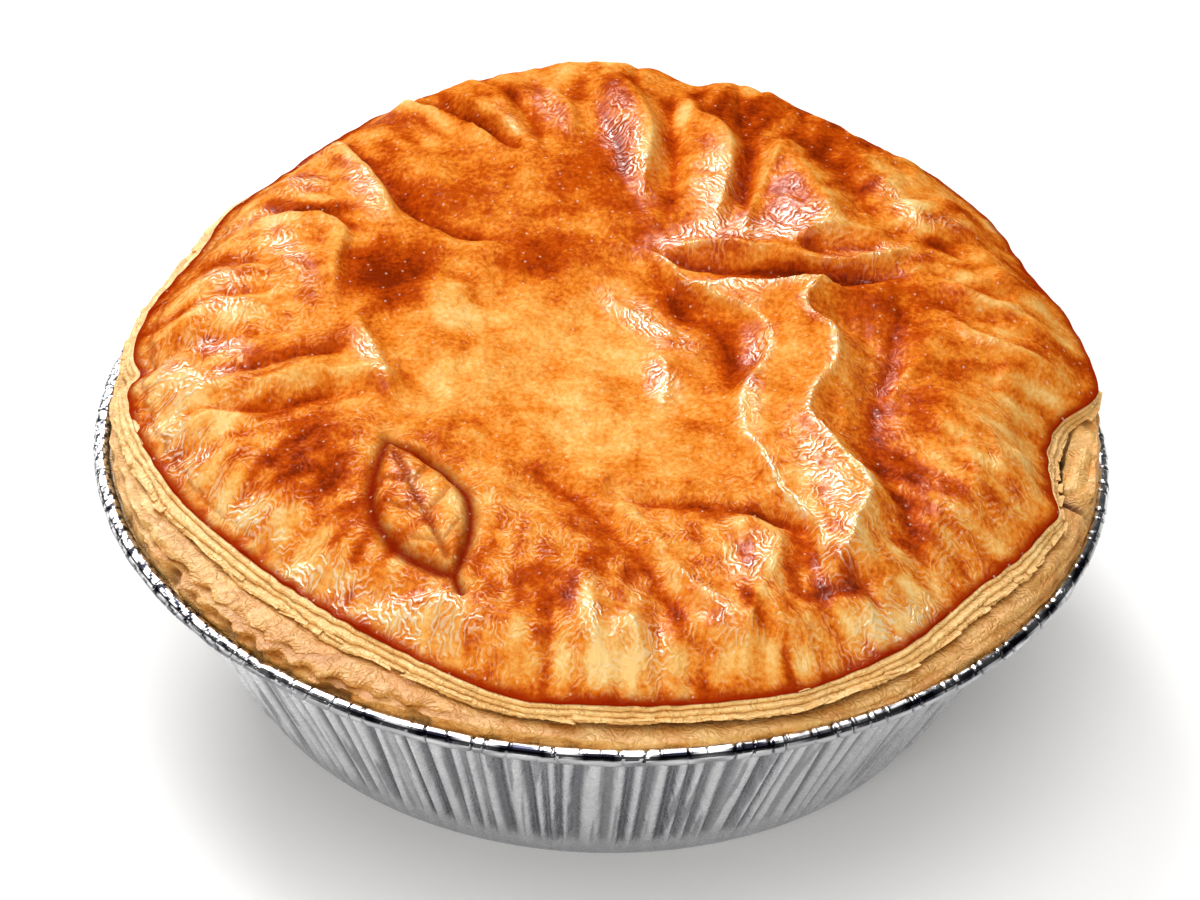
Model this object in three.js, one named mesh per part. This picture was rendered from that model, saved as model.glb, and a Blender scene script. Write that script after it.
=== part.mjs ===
import * as THREE from "three";

// Lamb pie in its foil dish. Millimetres, z up from the flat underside, the front towards -y.

// Foil dish
const RIM_RADIUS = 60;
const RIM_HEIGHT = 28;
const BEAD_RADIUS = 1;
const BEAD_CRIMP = 0.12;
const BASE_RADIUS = 42.2;
const BASE_CORNER = 1.1;
const WALL_TOP_RADIUS = 56;
const WALL_TOP_DROP = 1.3;
const FOIL_THICKNESS = 0.5;
const FLUTE_COUNT = 104;
const FLUTE_DEPTH = 0.5;
const FLUTE_VARIATION = 0.4;
const FLUTE_FOOT = 0.25;
const DISH_SEED = 11;

// Lid edge: the circle it is cut to, the height it has risen to, and where it strays from them
const LID_RADIUS = 56.4;
const LID_RISE = 8;
const LID_TILT = 4.4;
const LAYER_STEP = 0.8;
const LAYER_RAGGED = 0.4;
const LAYER_TIPS = [0.8, 0.4];
const LAYER_GROOVE = 0.6;
const EDGE_THICKNESS = 1.4;
const EDGE_SWELL = 0.14;
const EDGE_INSET = 0.9;
const EDGE_WANDER = 0.35;
const LID_SEED = 23;
const EDGE_LOBES = [
  { name: "back bulge", at: 92, spread: 37, out: 2.4, up: 2.2 },
  { name: "back right bulge", at: 46, spread: 18, out: 0.6, up: 1 },
  { name: "right tip", at: 6, spread: 8, out: 2.4, up: 0 },
  { name: "right bite", at: -11, spread: 8, out: -5.2, up: 0 },
  { name: "front inset", at: -95, spread: 25, out: -1.2, up: -0.3 },
  { name: "front left inset", at: -140, spread: 26, out: -3.4, up: 0 },
  { name: "left pinch", at: 180, spread: 3.5, out: -1.2, up: -0.5 },
];

// Lid top: a low dome with a rolled shoulder, a sunken middle and baked-in folds
const DOME_HEIGHT = 7;
const DOME_POWER = 3;
const SHOULDER_HEIGHT = 3.6;
const SHOULDER_FROM = 0.86;
const EDGE_RELIEF = 0.3;
const LID_THICKNESS = 4.2;
const BASIN = { x: -3, y: -6, reach: 24, depth: 2.4 };
const UNEVEN_HEIGHT = 0.3;
const UNEVEN_LENGTH = 13;
const UNEVEN_WAVES = 9;
// Each fold runs from one place to another, sags sideways by bend, and stands rise proud (or sunk).
const FOLDS = [
  { name: "back ridge", from: [-2, 47], to: [2, 27], bend: 2, rise: 1.5, width: 2.6 },
  { name: "back ridge, right", from: [8, 46], to: [8, 18], bend: 3.5, rise: 1.6, width: 2.4 },
  { name: "gap of the back ridges", from: [6, 47], to: [5, 22], bend: 1, rise: -1.2, width: 2 },
  { name: "gap left of the peak", from: [15, 45], to: [13, 21], bend: 1, rise: -1.3, width: 2 },
  { name: "peak", from: [20, 34], to: [21, 18], bend: 0, rise: 1.5, width: 4 },
  { name: "peak, right leg", from: [21, 34], to: [33, 21], bend: -1, rise: 1, width: 2.2 },
  { name: "long cleft", from: [8, 14], to: [35, 15], bend: -1, rise: -1.9, width: 2 },
  { name: "cleft brow", from: [6, 19], to: [34, 21], bend: -4, rise: 1.4, width: 1.9 },
  { name: "right trough", from: [30, 8], to: [36, -31], bend: -2.5, rise: -1.7, width: 2.8 },
  { name: "right swell", from: [38, 8], to: [41, -22], bend: -1, rise: 1, width: 4.5 },
  { name: "right pleat", from: [37, 13], to: [53, 8], bend: 1, rise: 1, width: 2.2 },
  { name: "right pleat, lower", from: [40, 5], to: [54, 2], bend: 1, rise: 0.9, width: 1.9 },
  { name: "front valley", from: [-12, -21], to: [13, -47], bend: -1, rise: -1.6, width: 2.8 },
  { name: "front ridge", from: [0, -28], to: [17, -45], bend: -1, rise: 1.2, width: 2.4 },
  { name: "front right ridge", from: [21, -33], to: [11, -41], bend: 0, rise: 1.2, width: 2.3 },
  { name: "front right dip", from: [21, -31], to: [28, -40], bend: 0, rise: -1.2, width: 2 },
  { name: "front pleat", from: [-3, -41], to: [-1, -54], bend: 0, rise: 1, width: 2.3 },
  { name: "left long valley", from: [-34, 42], to: [-14, 16], bend: -3.5, rise: -1.8, width: 2.4 },
  { name: "left back ridge", from: [-34, 36], to: [-27, 21], bend: 1, rise: 1.5, width: 2.4 },
  { name: "left short valley", from: [-43, 26], to: [-28, 17], bend: 1, rise: -1.5, width: 2 },
  { name: "left ridge", from: [-45, 22], to: [-31, 15], bend: 1.5, rise: 1.3, width: 2.5 },
  { name: "back left valley", from: [-23, 48], to: [-12, 35], bend: 0, rise: -1.5, width: 1.9 },
  { name: "left pleat", from: [-52, 4], to: [-39, 4], bend: 0, rise: 1, width: 2.3 },
  { name: "left middle valley", from: [-53, -1], to: [-36, -4], bend: 0, rise: -1.1, width: 2.1 },
  { name: "left middle ridge", from: [-50, -6], to: [-25, -8], bend: 0, rise: 1.4, width: 2.8 },
  { name: "left lower valley", from: [-49, -12], to: [-24, -14], bend: 1, rise: -1.2, width: 2.3 },
];
// The terrace on the right stands between two winding brinks, each a few [y, x] places from back to front.
const TERRACE_RISE = 1.9;
const TERRACE_BRINK = 2.2;
const TERRACE_BACK = 12;
const TERRACE_LEFT = [[14, 6.5], [5, 14.5], [0, 18], [-8, 17], [-15, 15.5], [-22, 19], [-38, 26.5]];
const TERRACE_RIGHT = [[14, 27], [5, 23], [-4, 27], [-11, 24], [-24, 31.5], [-35, 29.5], [-38, 27.5]];
// The leaf pressed into the front left
const LEAF = { x: -20.5, y: -30.5, turn: 110, length: 22, width: 9.6 };
const LEAF_GROOVE = 0.9;
const LEAF_BODY = 0.8;
const LEAF_LINE = 1.1;
const LEAF_FADE = 1.2;
const LEAF_VEIN_END = 0.7;

// Bottom crust under the lid
const CRUST_RADIUS = 58.2;
const CRUST_FOOT = RIM_HEIGHT + 1.4;
const CRUST_TOP_MIN = 56.6;
const CRUST_TOP_MAX = 58.6;
const CRUST_OVER_LID = 0.9;
const CRUST_LEDGE_DROP = 0.15;
const CRUST_LAYERS = [
  { up: 0.3, out: 0.35 },
  { up: 0.5, out: -0.25 },
  { up: 0.75, out: 0.3 },
];
const CRUST_ROUNDING = 3;
const CRUST_WANDER = 0.3;
const CRUST_CRACK = { at: -15, spread: 2, in: 2.2 };
const CRUST_SEED = 37;
const CLEARANCE = 0.3;

// Mesh steps
const LID_RINGS = 27;
const POINTS_PER_RING = 6;
const LID_POINTS = LID_RINGS * POINTS_PER_RING;
const UNDER_STEPS = [0.2, 0.4, 0.6, 0.8];
const CRUST_POINTS = 120;
const FLOOR_POINTS = 24;
const FOLD_STEPS = 8;

const TURN = 2 * Math.PI;

const radians = (degrees) => (degrees * Math.PI) / 180;
const bell = (t) => Math.exp(-t * t);
const clamp = (value, low, high) => Math.min(Math.max(value, low), high);

function smooth(from, to, value) {
  const t = clamp((value - from) / (to - from), 0, 1);
  return t * t * (3 - 2 * t);
}

// Repeatable random numbers from 0 to 1.
function seeded(seed) {
  let state = seed >>> 0;
  return () => {
    state = (state + 0x6d2b79f5) >>> 0;
    let t = Math.imul(state ^ (state >>> 15), 1 | state);
    t = (t + Math.imul(t ^ (t >>> 7), 61 | t)) ^ t;
    return ((t ^ (t >>> 14)) >>> 0) / 4294967296;
  };
}

// A wavering that closes on itself round the axis, from about -1 to 1.
function ripple(random, lowest, highest) {
  const waves = [];
  for (let count = lowest; count <= highest; count++) {
    waves.push({ count, phase: random() * TURN });
  }
  const share = Math.sqrt(2 / waves.length);
  return (angle) => share * waves.reduce((sum, w) => sum + Math.cos(w.count * angle + w.phase), 0);
}

// An uneven surface made of a few crossing waves, from about -1 to 1.
function unevenness(random, count, length) {
  const waves = [];
  for (let i = 0; i < count; i++) {
    const heading = random() * TURN;
    const pace = TURN / (length * (0.7 + 0.6 * random()));
    waves.push({ x: pace * Math.cos(heading), y: pace * Math.sin(heading), phase: random() * TURN });
  }
  const share = Math.sqrt(2 / count);
  return (x, y) => share * waves.reduce((sum, w) => sum + Math.cos(w.x * x + w.y * y + w.phase), 0);
}

// The shortest turn from one angle in degrees to another, as radians.
function turnFrom(degrees, angle) {
  const gap = angle - radians(degrees);
  return Math.atan2(Math.sin(gap), Math.cos(gap));
}

function lobeSum(angle, key) {
  return EDGE_LOBES.reduce(
    (sum, lobe) => sum + lobe[key] * bell(turnFrom(lobe.at, angle) / radians(lobe.spread)),
    0,
  );
}

const lidRandom = seeded(LID_SEED);
const edgeWander = ripple(lidRandom, 7, 19);
const leafWander = [ripple(lidRandom, 21, 60), ripple(lidRandom, 21, 60)];
const lidUneven = unevenness(lidRandom, UNEVEN_WAVES, UNEVEN_LENGTH);

const edgeRadius = (angle) => LID_RADIUS + lobeSum(angle, "out") + EDGE_WANDER * edgeWander(angle);
const edgeRise = (angle) => LID_RISE + LID_TILT * Math.sin(angle) + lobeSum(angle, "up");
const edgeHeight = (angle) => RIM_HEIGHT + edgeRise(angle);
const edgeThickness = (angle) => EDGE_THICKNESS + EDGE_SWELL * (edgeRise(angle) - LID_RISE + LID_TILT);

// How far the lid stands above its edge at a share of the way out, before its folds.
function swell(share, x, y) {
  const shoulder = SHOULDER_HEIGHT * (1 - smooth(SHOULDER_FROM, 1, share));
  const dome = DOME_HEIGHT * (1 - share ** DOME_POWER);
  const basin = BASIN.depth * bell(Math.hypot(x - BASIN.x, y - BASIN.y) / BASIN.reach);
  return shoulder + dome - basin;
}

// The edge height carried in towards the middle, where the wandering of the edge dies out.
function plane(share, angle) {
  const inner = RIM_HEIGHT + LID_RISE + LID_TILT * share * Math.sin(angle);
  return inner + (edgeHeight(angle) - inner) * smooth(0, 1, share);
}

// The places along a fold, which sags sideways in the middle.
function foldPath(fold) {
  const [x0, y0] = fold.from;
  const [x1, y1] = fold.to;
  const length = Math.hypot(x1 - x0, y1 - y0);
  const side = new THREE.Vector2(y0 - y1, x1 - x0).multiplyScalar((2 * fold.bend) / length);
  const middle = new THREE.Vector2((x0 + x1) / 2, (y0 + y1) / 2).add(side);
  const curve = new THREE.QuadraticBezierCurve(
    new THREE.Vector2(x0, y0),
    middle,
    new THREE.Vector2(x1, y1),
  );
  return curve.getPoints(FOLD_STEPS);
}

const FOLD_PATHS = FOLDS.map((fold) => ({ ...fold, path: foldPath(fold) }));

function distanceToPath(path, x, y) {
  let nearest = Infinity;
  for (let i = 0; i + 1 < path.length; i++) {
    const dx = path[i + 1].x - path[i].x;
    const dy = path[i + 1].y - path[i].y;
    const along = clamp(((x - path[i].x) * dx + (y - path[i].y) * dy) / (dx * dx + dy * dy), 0, 1);
    nearest = Math.min(nearest, Math.hypot(x - path[i].x - along * dx, y - path[i].y - along * dy));
  }
  return nearest;
}

// Where a brink runs at a distance to the back: the curve through its places.
function brinkCurve(places) {
  return new THREE.CatmullRomCurve3(places.map(([y, x]) => new THREE.Vector3(x, y, 0)));
}

function brinkAt(curve, places, y) {
  const steps = places.length - 1;
  let step = 0;
  while (step < steps - 1 && y < places[step + 1][0]) {
    step += 1;
  }
  const within = clamp((places[step][0] - y) / (places[step][0] - places[step + 1][0]), 0, 1);
  return curve.getPoint((step + within) / steps).x;
}

const LEFT_BRINK = brinkCurve(TERRACE_LEFT);
const RIGHT_BRINK = brinkCurve(TERRACE_RIGHT);

function terrace(x, y) {
  const front = TERRACE_LEFT[TERRACE_LEFT.length - 1][0];
  if (y < front || y > TERRACE_BACK + TERRACE_BRINK) {
    return 0;
  }
  const left = smooth(-TERRACE_BRINK, TERRACE_BRINK, x - brinkAt(LEFT_BRINK, TERRACE_LEFT, y));
  const right = smooth(-TERRACE_BRINK, TERRACE_BRINK, brinkAt(RIGHT_BRINK, TERRACE_RIGHT, y) - x);
  const frontEnd = smooth(front, front + 2 * TERRACE_BRINK, y);
  const backEnd = 1 - smooth(TERRACE_BACK, TERRACE_BACK + TERRACE_BRINK, y);
  return TERRACE_RISE * left * right * frontEnd * backEnd;
}

// A pointed leaf: a groove round it, a soft body inside and a groove for its vein.
function leaf(x, y) {
  const heading = radians(LEAF.turn);
  const dx = x - LEAF.x;
  const dy = y - LEAF.y;
  const along = (dx * Math.cos(heading) + dy * Math.sin(heading)) / (LEAF.length / 2);
  const across = Math.abs(dy * Math.cos(heading) - dx * Math.sin(heading));
  const beyond = Math.abs(along);
  if (beyond > LEAF_FADE) {
    return 0;
  }
  const half = (LEAF.width / 2) * Math.max(1 - along * along, 0);
  const body = LEAF_BODY * smooth(-LEAF_LINE, LEAF_LINE, half - across);
  const rim = LEAF_GROOVE * bell((across - half) / LEAF_LINE);
  const vein = LEAF_GROOVE * bell(across / LEAF_LINE) * (1 - smooth(LEAF_VEIN_END, 1, beyond));
  return body - Math.max(rim, vein) * (1 - smooth(1, LEAF_FADE, beyond));
}

function relief(x, y) {
  const folds = FOLD_PATHS.reduce(
    (sum, fold) => sum + fold.rise * bell(distanceToPath(fold.path, x, y) / fold.width),
    0,
  );
  return folds + terrace(x, y) + leaf(x, y) + UNEVEN_HEIGHT * lidUneven(x, y);
}

function onLid(share, angle, lift) {
  const radius = share * edgeRadius(angle);
  const x = radius * Math.cos(angle);
  const y = radius * Math.sin(angle);
  return new THREE.Vector3(x, y, lift(share, angle, x, y));
}

function lidTop(share, angle, x, y) {
  const still = 1 - smooth(SHOULDER_FROM, 1, share);
  return plane(share, angle) + swell(share, x, y) + (EDGE_RELIEF + (1 - EDGE_RELIEF) * still) * relief(x, y);
}

function lidUnder(share, angle, x, y) {
  const edge = edgeThickness(angle);
  const thickness = edge + (LID_THICKNESS - edge) * (1 - smooth(SHOULDER_FROM, 1, share));
  return plane(share, angle) + swell(share, x, y) - thickness;
}

const polar = (radius, angle, z) => new THREE.Vector3(radius * Math.cos(angle), radius * Math.sin(angle), z);

function ring(count, place) {
  return Array.from({ length: count }, (_, i) => place((i / count) * TURN));
}

// Rings of the face between lid and crust, from the middle out to the lid's edge.
function underRings(drop) {
  const height = (...at) => lidUnder(...at) - drop;
  const middle = [onLid(0, 0, height)];
  const rings = UNDER_STEPS.map((share) =>
    ring(Math.round((share * LID_POINTS) / 2), (angle) => onLid(share, angle, height)),
  );
  const lip = ring(LID_POINTS, (angle) => {
    const radius = edgeRadius(angle) - EDGE_INSET;
    return onLid(radius / edgeRadius(angle), angle, height);
  });
  return [middle, ...rings, lip];
}

// Adds the triangles between a ring and the next one, which may have another number of points.
function zip(faces, lower, lowerCount, upper, upperCount) {
  const lowerSteps = lowerCount > 1 ? lowerCount : 0;
  const upperSteps = upperCount > 1 ? upperCount : 0;
  let i = 0;
  let j = 0;
  while (i < lowerSteps || j < upperSteps) {
    const here = lower + (i % lowerCount);
    const above = upper + (j % upperCount);
    const lowerNext = i < lowerSteps && (j >= upperSteps || (i + 1) / lowerCount <= (j + 1) / upperCount);
    if (lowerNext) {
      faces.push(here, lower + ((i + 1) % lowerCount), above);
      i += 1;
    } else {
      faces.push(here, upper + ((j + 1) % upperCount), above);
      j += 1;
    }
  }
}

// One closed skin over rings that run from the point underneath, round the outside, to the point on top.
function skin(rings) {
  const faces = [];
  let start = 0;
  for (let k = 0; k + 1 < rings.length; k++) {
    const next = start + rings[k].length;
    zip(faces, start, rings[k].length, next, rings[k + 1].length);
    start = next;
  }
  const geometry = new THREE.BufferGeometry().setFromPoints(rings.flat());
  geometry.setIndex(faces);
  geometry.computeVertexNormals();
  return geometry;
}

function foilDish() {
  const random = seeded(DISH_SEED);
  const depth = Array.from({ length: FLUTE_COUNT }, () => 1 - FLUTE_VARIATION * random());
  const crimp = ripple(random, 30, 52);
  const points = 2 * FLUTE_COUNT;
  const beadCentre = RIM_RADIUS - BEAD_RADIUS;
  const wallTop = RIM_HEIGHT - WALL_TOP_DROP;
  const slope = Math.atan2(WALL_TOP_RADIUS - BASE_RADIUS, wallTop - BASE_CORNER);
  const across = FOIL_THICKNESS / Math.cos(slope);
  const lift = FOIL_THICKNESS * Math.sin(slope);
  const turned = (radius, z, flute) =>
    ring(points, (angle) => {
      const step = Math.round((angle / TURN) * points) % points;
      const wave = (step % 2 ? 1 : -1) * FLUTE_DEPTH * depth[step >> 1];
      return polar(radius + flute * wave, angle, z);
    });
  const bead = (degrees) =>
    ring(points, (angle) => {
      const radius = BEAD_RADIUS - BEAD_CRIMP * Math.abs(crimp(angle));
      const around = radians(degrees);
      return polar(beadCentre + radius * Math.cos(around), angle, RIM_HEIGHT + radius * Math.sin(around));
    });
  return skin([
    [polar(0, 0, 0)],
    turned(BASE_RADIUS - BASE_CORNER, 0, 0),
    turned(BASE_RADIUS, BASE_CORNER, FLUTE_FOOT),
    turned(WALL_TOP_RADIUS, wallTop, 1),
    bead(-75),
    bead(0),
    bead(75),
    bead(160),
    turned(WALL_TOP_RADIUS - across, wallTop + lift, 1),
    turned(BASE_RADIUS - across, BASE_CORNER + lift, FLUTE_FOOT),
    turned(BASE_RADIUS - BASE_CORNER - across / 2, FOIL_THICKNESS, 0),
    [polar(0, 0, FOIL_THICKNESS)],
  ]);
}

function pastryCase() {
  const random = seeded(CRUST_SEED);
  const wander = ripple(random, 5, 24);
  const inside = FOIL_THICKNESS + CLEARANCE;
  const clear = 2 * FOIL_THICKNESS + FLUTE_DEPTH + CLEARANCE;
  const topRadius = (angle) => clamp(edgeRadius(angle) + CRUST_OVER_LID, CRUST_TOP_MIN, CRUST_TOP_MAX);
  const topHeight = (angle) => edgeHeight(angle) - edgeThickness(angle) - CLEARANCE - CRUST_LEDGE_DROP;
  const crack = (angle) => CRUST_CRACK.in * bell(turnFrom(CRUST_CRACK.at, angle) / radians(CRUST_CRACK.spread));
  const side = (up, out) =>
    ring(CRUST_POINTS, (angle) => {
      const lean = topRadius(angle) - CRUST_RADIUS;
      const radius = CRUST_RADIUS + lean * up ** CRUST_ROUNDING + out;
      const uneven = CRUST_WANDER * wander(angle + up) * smooth(0, 1, up);
      return polar(
        radius + uneven - up * crack(angle),
        angle,
        CRUST_FOOT + up * (topHeight(angle) - CRUST_FOOT),
      );
    });
  const turned = (count, radius, z) => ring(count, (angle) => polar(radius, angle, z));
  const under = underRings(CLEARANCE).reverse();
  return skin([
    [polar(0, 0, inside)],
    turned(FLOOR_POINTS, BASE_RADIUS / 2, inside),
    turned(CRUST_POINTS, BASE_RADIUS - BASE_CORNER - clear, inside),
    turned(CRUST_POINTS, BASE_RADIUS - clear, BASE_CORNER + inside),
    turned(CRUST_POINTS, WALL_TOP_RADIUS - clear, RIM_HEIGHT - WALL_TOP_DROP),
    turned(CRUST_POINTS, RIM_RADIUS - 2 * BEAD_RADIUS - 2 * CLEARANCE, RIM_HEIGHT + CLEARANCE),
    side(0, 0),
    ...CRUST_LAYERS.map((layer) => side(layer.up, layer.out)),
    side(1, 0),
    ...under,
  ]);
}

function pastryLid() {
  const under = underRings(0);
  const layer = (down, out) =>
    ring(LID_POINTS, (angle) => {
      return polar(edgeRadius(angle) + out(angle), angle, edgeHeight(angle) - down * edgeThickness(angle));
    });
  const tips = leafWander.map(
    (wander) => (angle) => LAYER_STEP * (1 - LAYER_RAGGED + LAYER_RAGGED * wander(angle)),
  );
  const top = [];
  for (let k = LID_RINGS; k >= 1; k--) {
    top.push(ring(k * POINTS_PER_RING, (angle) => onLid(k / LID_RINGS, angle, lidTop)));
  }
  return skin([
    ...under,
    layer(LAYER_TIPS[0], tips[0]),
    layer(LAYER_GROOVE, () => -LAYER_RAGGED * LAYER_STEP),
    layer(LAYER_TIPS[1], tips[1]),
    ...top,
    [onLid(0, 0, lidTop)],
  ]);
}

function piece(name, geometry, color, roughness, metalness) {
  const mesh = new THREE.Mesh(geometry, new THREE.MeshStandardMaterial({ color, roughness, metalness }));
  mesh.name = name;
  return mesh;
}

const group = new THREE.Group();
group.add(piece("foil_dish", foilDish(), 0xb4b5b9, 0.35, 1));
group.add(piece("pastry_case", pastryCase(), 0xe2b67f, 0.8, 0));
group.add(piece("pastry_lid", pastryLid(), 0xd9873a, 0.35, 0));

export default group;
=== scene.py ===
"""Lamb pie in its foil dish: the looks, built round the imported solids."""

import logging
import math
from dataclasses import dataclass, field, replace
from enum import Enum

import bpy
import numpy as np
from mathutils import Matrix, Vector


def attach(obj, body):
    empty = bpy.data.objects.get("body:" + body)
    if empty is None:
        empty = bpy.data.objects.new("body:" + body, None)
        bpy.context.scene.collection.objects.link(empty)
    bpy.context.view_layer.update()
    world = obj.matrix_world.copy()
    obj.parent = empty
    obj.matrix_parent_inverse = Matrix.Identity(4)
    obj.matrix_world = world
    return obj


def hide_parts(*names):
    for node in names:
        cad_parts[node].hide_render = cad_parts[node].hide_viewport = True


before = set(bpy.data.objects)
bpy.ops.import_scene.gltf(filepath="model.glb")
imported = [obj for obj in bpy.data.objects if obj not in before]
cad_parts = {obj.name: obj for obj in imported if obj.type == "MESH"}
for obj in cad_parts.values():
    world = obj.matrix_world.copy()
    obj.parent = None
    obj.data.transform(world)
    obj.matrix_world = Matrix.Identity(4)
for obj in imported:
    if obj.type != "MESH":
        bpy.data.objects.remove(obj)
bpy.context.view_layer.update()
LOG = logging.getLogger("lamb_pie")

MM = 0.001
TURN = 2 * math.pi
# Divides a sum of crossing waves so that it mostly stays within -1 to 1
GRAIN_SPREAD = 1.6
Pair = tuple[float, float]
Triple = tuple[float, float, float]
Screen = tuple[int, int, int]


class Slot(Enum):
    """The record's material slots."""

    FOIL = "foil"
    CRUST = "crust"
    LID = "lid"


class Node(Enum):
    """The solids that the pieces stand for."""

    DISH = "foil_dish"
    CASE = "pastry_case"
    LID = "pastry_lid"


def smooth(low: float, high: float, value: np.ndarray) -> np.ndarray:
    """Eases from 0 at low to 1 at high.

    Args:
        low: where the rise starts.
        high: where it ends.
        value: the places to ease.

    Returns:
        The eased shares.
    """
    share = np.clip((np.asarray(value, float) - low) / (high - low), 0, 1)
    return share * share * (3 - 2 * share)


def bell(value: np.ndarray) -> np.ndarray:
    """A soft hump, 1 at 0."""
    return np.exp(-np.square(value))


def turn_from(degrees: float, angle: np.ndarray) -> np.ndarray:
    """The shortest turn from a heading in degrees to each angle, in degrees."""
    return (np.degrees(angle) - degrees + 180) % 360 - 180


def linear(red: int, green: int, blue: int) -> tuple[float, float, float, float]:
    """Turns a screen colour of 0 to 255 into the linear colour that nodes take.

    Args:
        red: red on screen.
        green: green on screen.
        blue: blue on screen.

    Returns:
        The linear colour with full alpha.
    """
    def one(value: int) -> float:
        """One channel."""
        c = value / 255
        return c / 12.92 if c <= 0.04045 else ((c + 0.055) / 1.055) ** 2.4

    return one(red), one(green), one(blue), 1.0


def through(places: np.ndarray, at: np.ndarray) -> np.ndarray:
    """A smooth curve through places.

    Args:
        places: rows of place and value, in rising order of place.
        at: where it is read.

    Returns:
        Values there.
    """
    keys, values = np.asarray(places, float).T
    k = np.clip(np.searchsorted(keys, at) - 1, 0, len(keys) - 2)
    span = keys[k + 1] - keys[k]
    t = np.clip((at - keys[k]) / span, 0, 1)
    slope = np.gradient(values, keys)
    start = 2 * t ** 3 - 3 * t ** 2 + 1
    lean = span * ((t ** 3 - 2 * t ** 2 + t) * slope[k] + (t ** 3 - t ** 2) * slope[k + 1])
    return start * values[k] + (1 - start) * values[k + 1] + lean


def round_curve(places: tuple[Pair, ...], angle: np.ndarray) -> np.ndarray:
    """A smooth closed curve through places round the pie.

    Args:
        places: pairs of degrees and value.
        angle: where it is read, in radians.

    Returns:
        Values there.
    """
    rows = np.array(sorted(places), float)
    rows = np.vstack((rows[-3:] - (360, 0), rows, rows[:3] + (360, 0)))
    return through(rows, (np.degrees(angle) + 180) % 360 - 180)


class FlatGrain:
    """A seeded uneven field over a plane, about -1 to 1."""

    def __init__(self, seed: int, length: float, waves: int = 30) -> None:
        """Draws the crossing waves.

        Args:
            seed: the seed of the draw.
            length: the usual wavelength in mm.
            waves: how many waves cross.
        """
        rng = np.random.default_rng(seed)
        pace = TURN / (length * rng.uniform(0.7, 1.3, waves))
        heading = rng.uniform(0, TURN, waves)
        phase = rng.uniform(0, TURN, waves)
        self.waves = np.stack((pace * np.cos(heading), pace * np.sin(heading), phase), 1)

    def __call__(self, x: np.ndarray, y: np.ndarray) -> np.ndarray:
        """The field at places in mm."""
        total = sum(np.cos(a * x + b * y + c) for a, b, c in self.waves)
        return total * math.sqrt(2 / len(self.waves)) / GRAIN_SPREAD


class RoundGrain:
    """A seeded uneven field over the angle round the pie and a length across it."""

    def __init__(self, seed: int, counts: tuple[int, int], lengths: Pair, waves: int = 40) -> None:
        """Draws the waves, each closing on itself round the pie.

        Args:
            seed: the seed of the draw.
            counts: fewest and most waves in a turn.
            lengths: shortest and longest wavelength across, in mm.
            waves: how many waves cross.
        """
        rng = np.random.default_rng(seed)
        counts_drawn = rng.integers(counts[0], counts[1] + 1, waves)
        pace = TURN / rng.uniform(*lengths, waves) * rng.choice((-1, 1), waves)
        self.waves = np.stack((counts_drawn, pace, rng.uniform(0, TURN, waves)), 1)

    def __call__(self, angle: np.ndarray, across: np.ndarray) -> np.ndarray:
        """The field at angles in radians and lengths in mm."""
        total = sum(np.cos(m * angle + k * across + p) for m, k, p in self.waves)
        return total * math.sqrt(2 / len(self.waves)) / GRAIN_SPREAD


class RingSkin:
    """A skin stretched over closed rings of points, each ring ordered round the axis."""

    def __init__(self) -> None:
        """Starts with no rings."""
        self.rings: list[np.ndarray] = []
        self.marks: list[dict[str, np.ndarray]] = []

    def add(self, points: np.ndarray, **marks: np.ndarray) -> None:
        """Adds a ring.

        Args:
            points: its places in mm, one row each.
            marks: values at those places, by attribute name.
        """
        self.rings.append(np.asarray(points, float).reshape(-1, 3))
        self.marks.append(marks)

    @staticmethod
    def zipped(lower: int, count: int, upper: int, upper_count: int) -> list[tuple[int, ...]]:
        """Faces between two rings, whose numbers of points may differ.

        Args:
            lower: first index of the ring that comes first.
            count: its number of points.
            upper: first index of the next ring.
            upper_count: its number of points.

        Returns:
            Faces that point outwards.
        """
        if count == upper_count and count > 1:
            step = [(i, (i + 1) % count) for i in range(count)]
            return [(lower + i, lower + j, upper + j, upper + i) for i, j in step]
        faces, i, j = [], 0, 0
        steps = (count if count > 1 else 0, upper_count if upper_count > 1 else 0)
        while i < steps[0] or j < steps[1]:
            here, above = lower + i % count, upper + j % upper_count
            if i < steps[0] and (j >= steps[1] or (i + 1) * upper_count <= (j + 1) * count):
                faces.append((here, lower + (i + 1) % count, above))
                i += 1
            else:
                faces.append((here, upper + (j + 1) % upper_count, above))
                j += 1
        return faces

    def build(self, name: str, loop: bool = False) -> bpy.types.Object:
        """Makes the mesh object.

        Args:
            name: the piece's name.
            loop: whether the last ring joins the first.

        Returns:
            The object, at the origin, with one attribute per mark.
        """
        starts = np.concatenate(([0], np.cumsum([len(r) for r in self.rings])))
        pairs = [(k, k + 1) for k in range(len(self.rings) - 1)]
        if loop:
            pairs.append((len(self.rings) - 1, 0))
        faces = []
        for k, n in pairs:
            faces += self.zipped(int(starts[k]), len(self.rings[k]), int(starts[n]), len(self.rings[n]))
        mesh = bpy.data.meshes.new(name)
        mesh.from_pydata((np.concatenate(self.rings) * MM).tolist(), [], faces)
        for mark in sorted({m for marks in self.marks for m in marks}):
            values = [np.broadcast_to(marks.get(mark, 0.0), len(ring))
                      for ring, marks in zip(self.rings, self.marks)]
            layer = mesh.attributes.new(mark, "FLOAT", "POINT")
            layer.data.foreach_set("value", np.concatenate(values).astype(np.float32))
        mesh.update()
        piece = bpy.data.objects.new(name, mesh)
        bpy.context.collection.objects.link(piece)
        return piece


def ring_angles(count: int) -> np.ndarray:
    """Even angles round the axis."""
    return np.arange(count) / count * TURN


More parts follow.
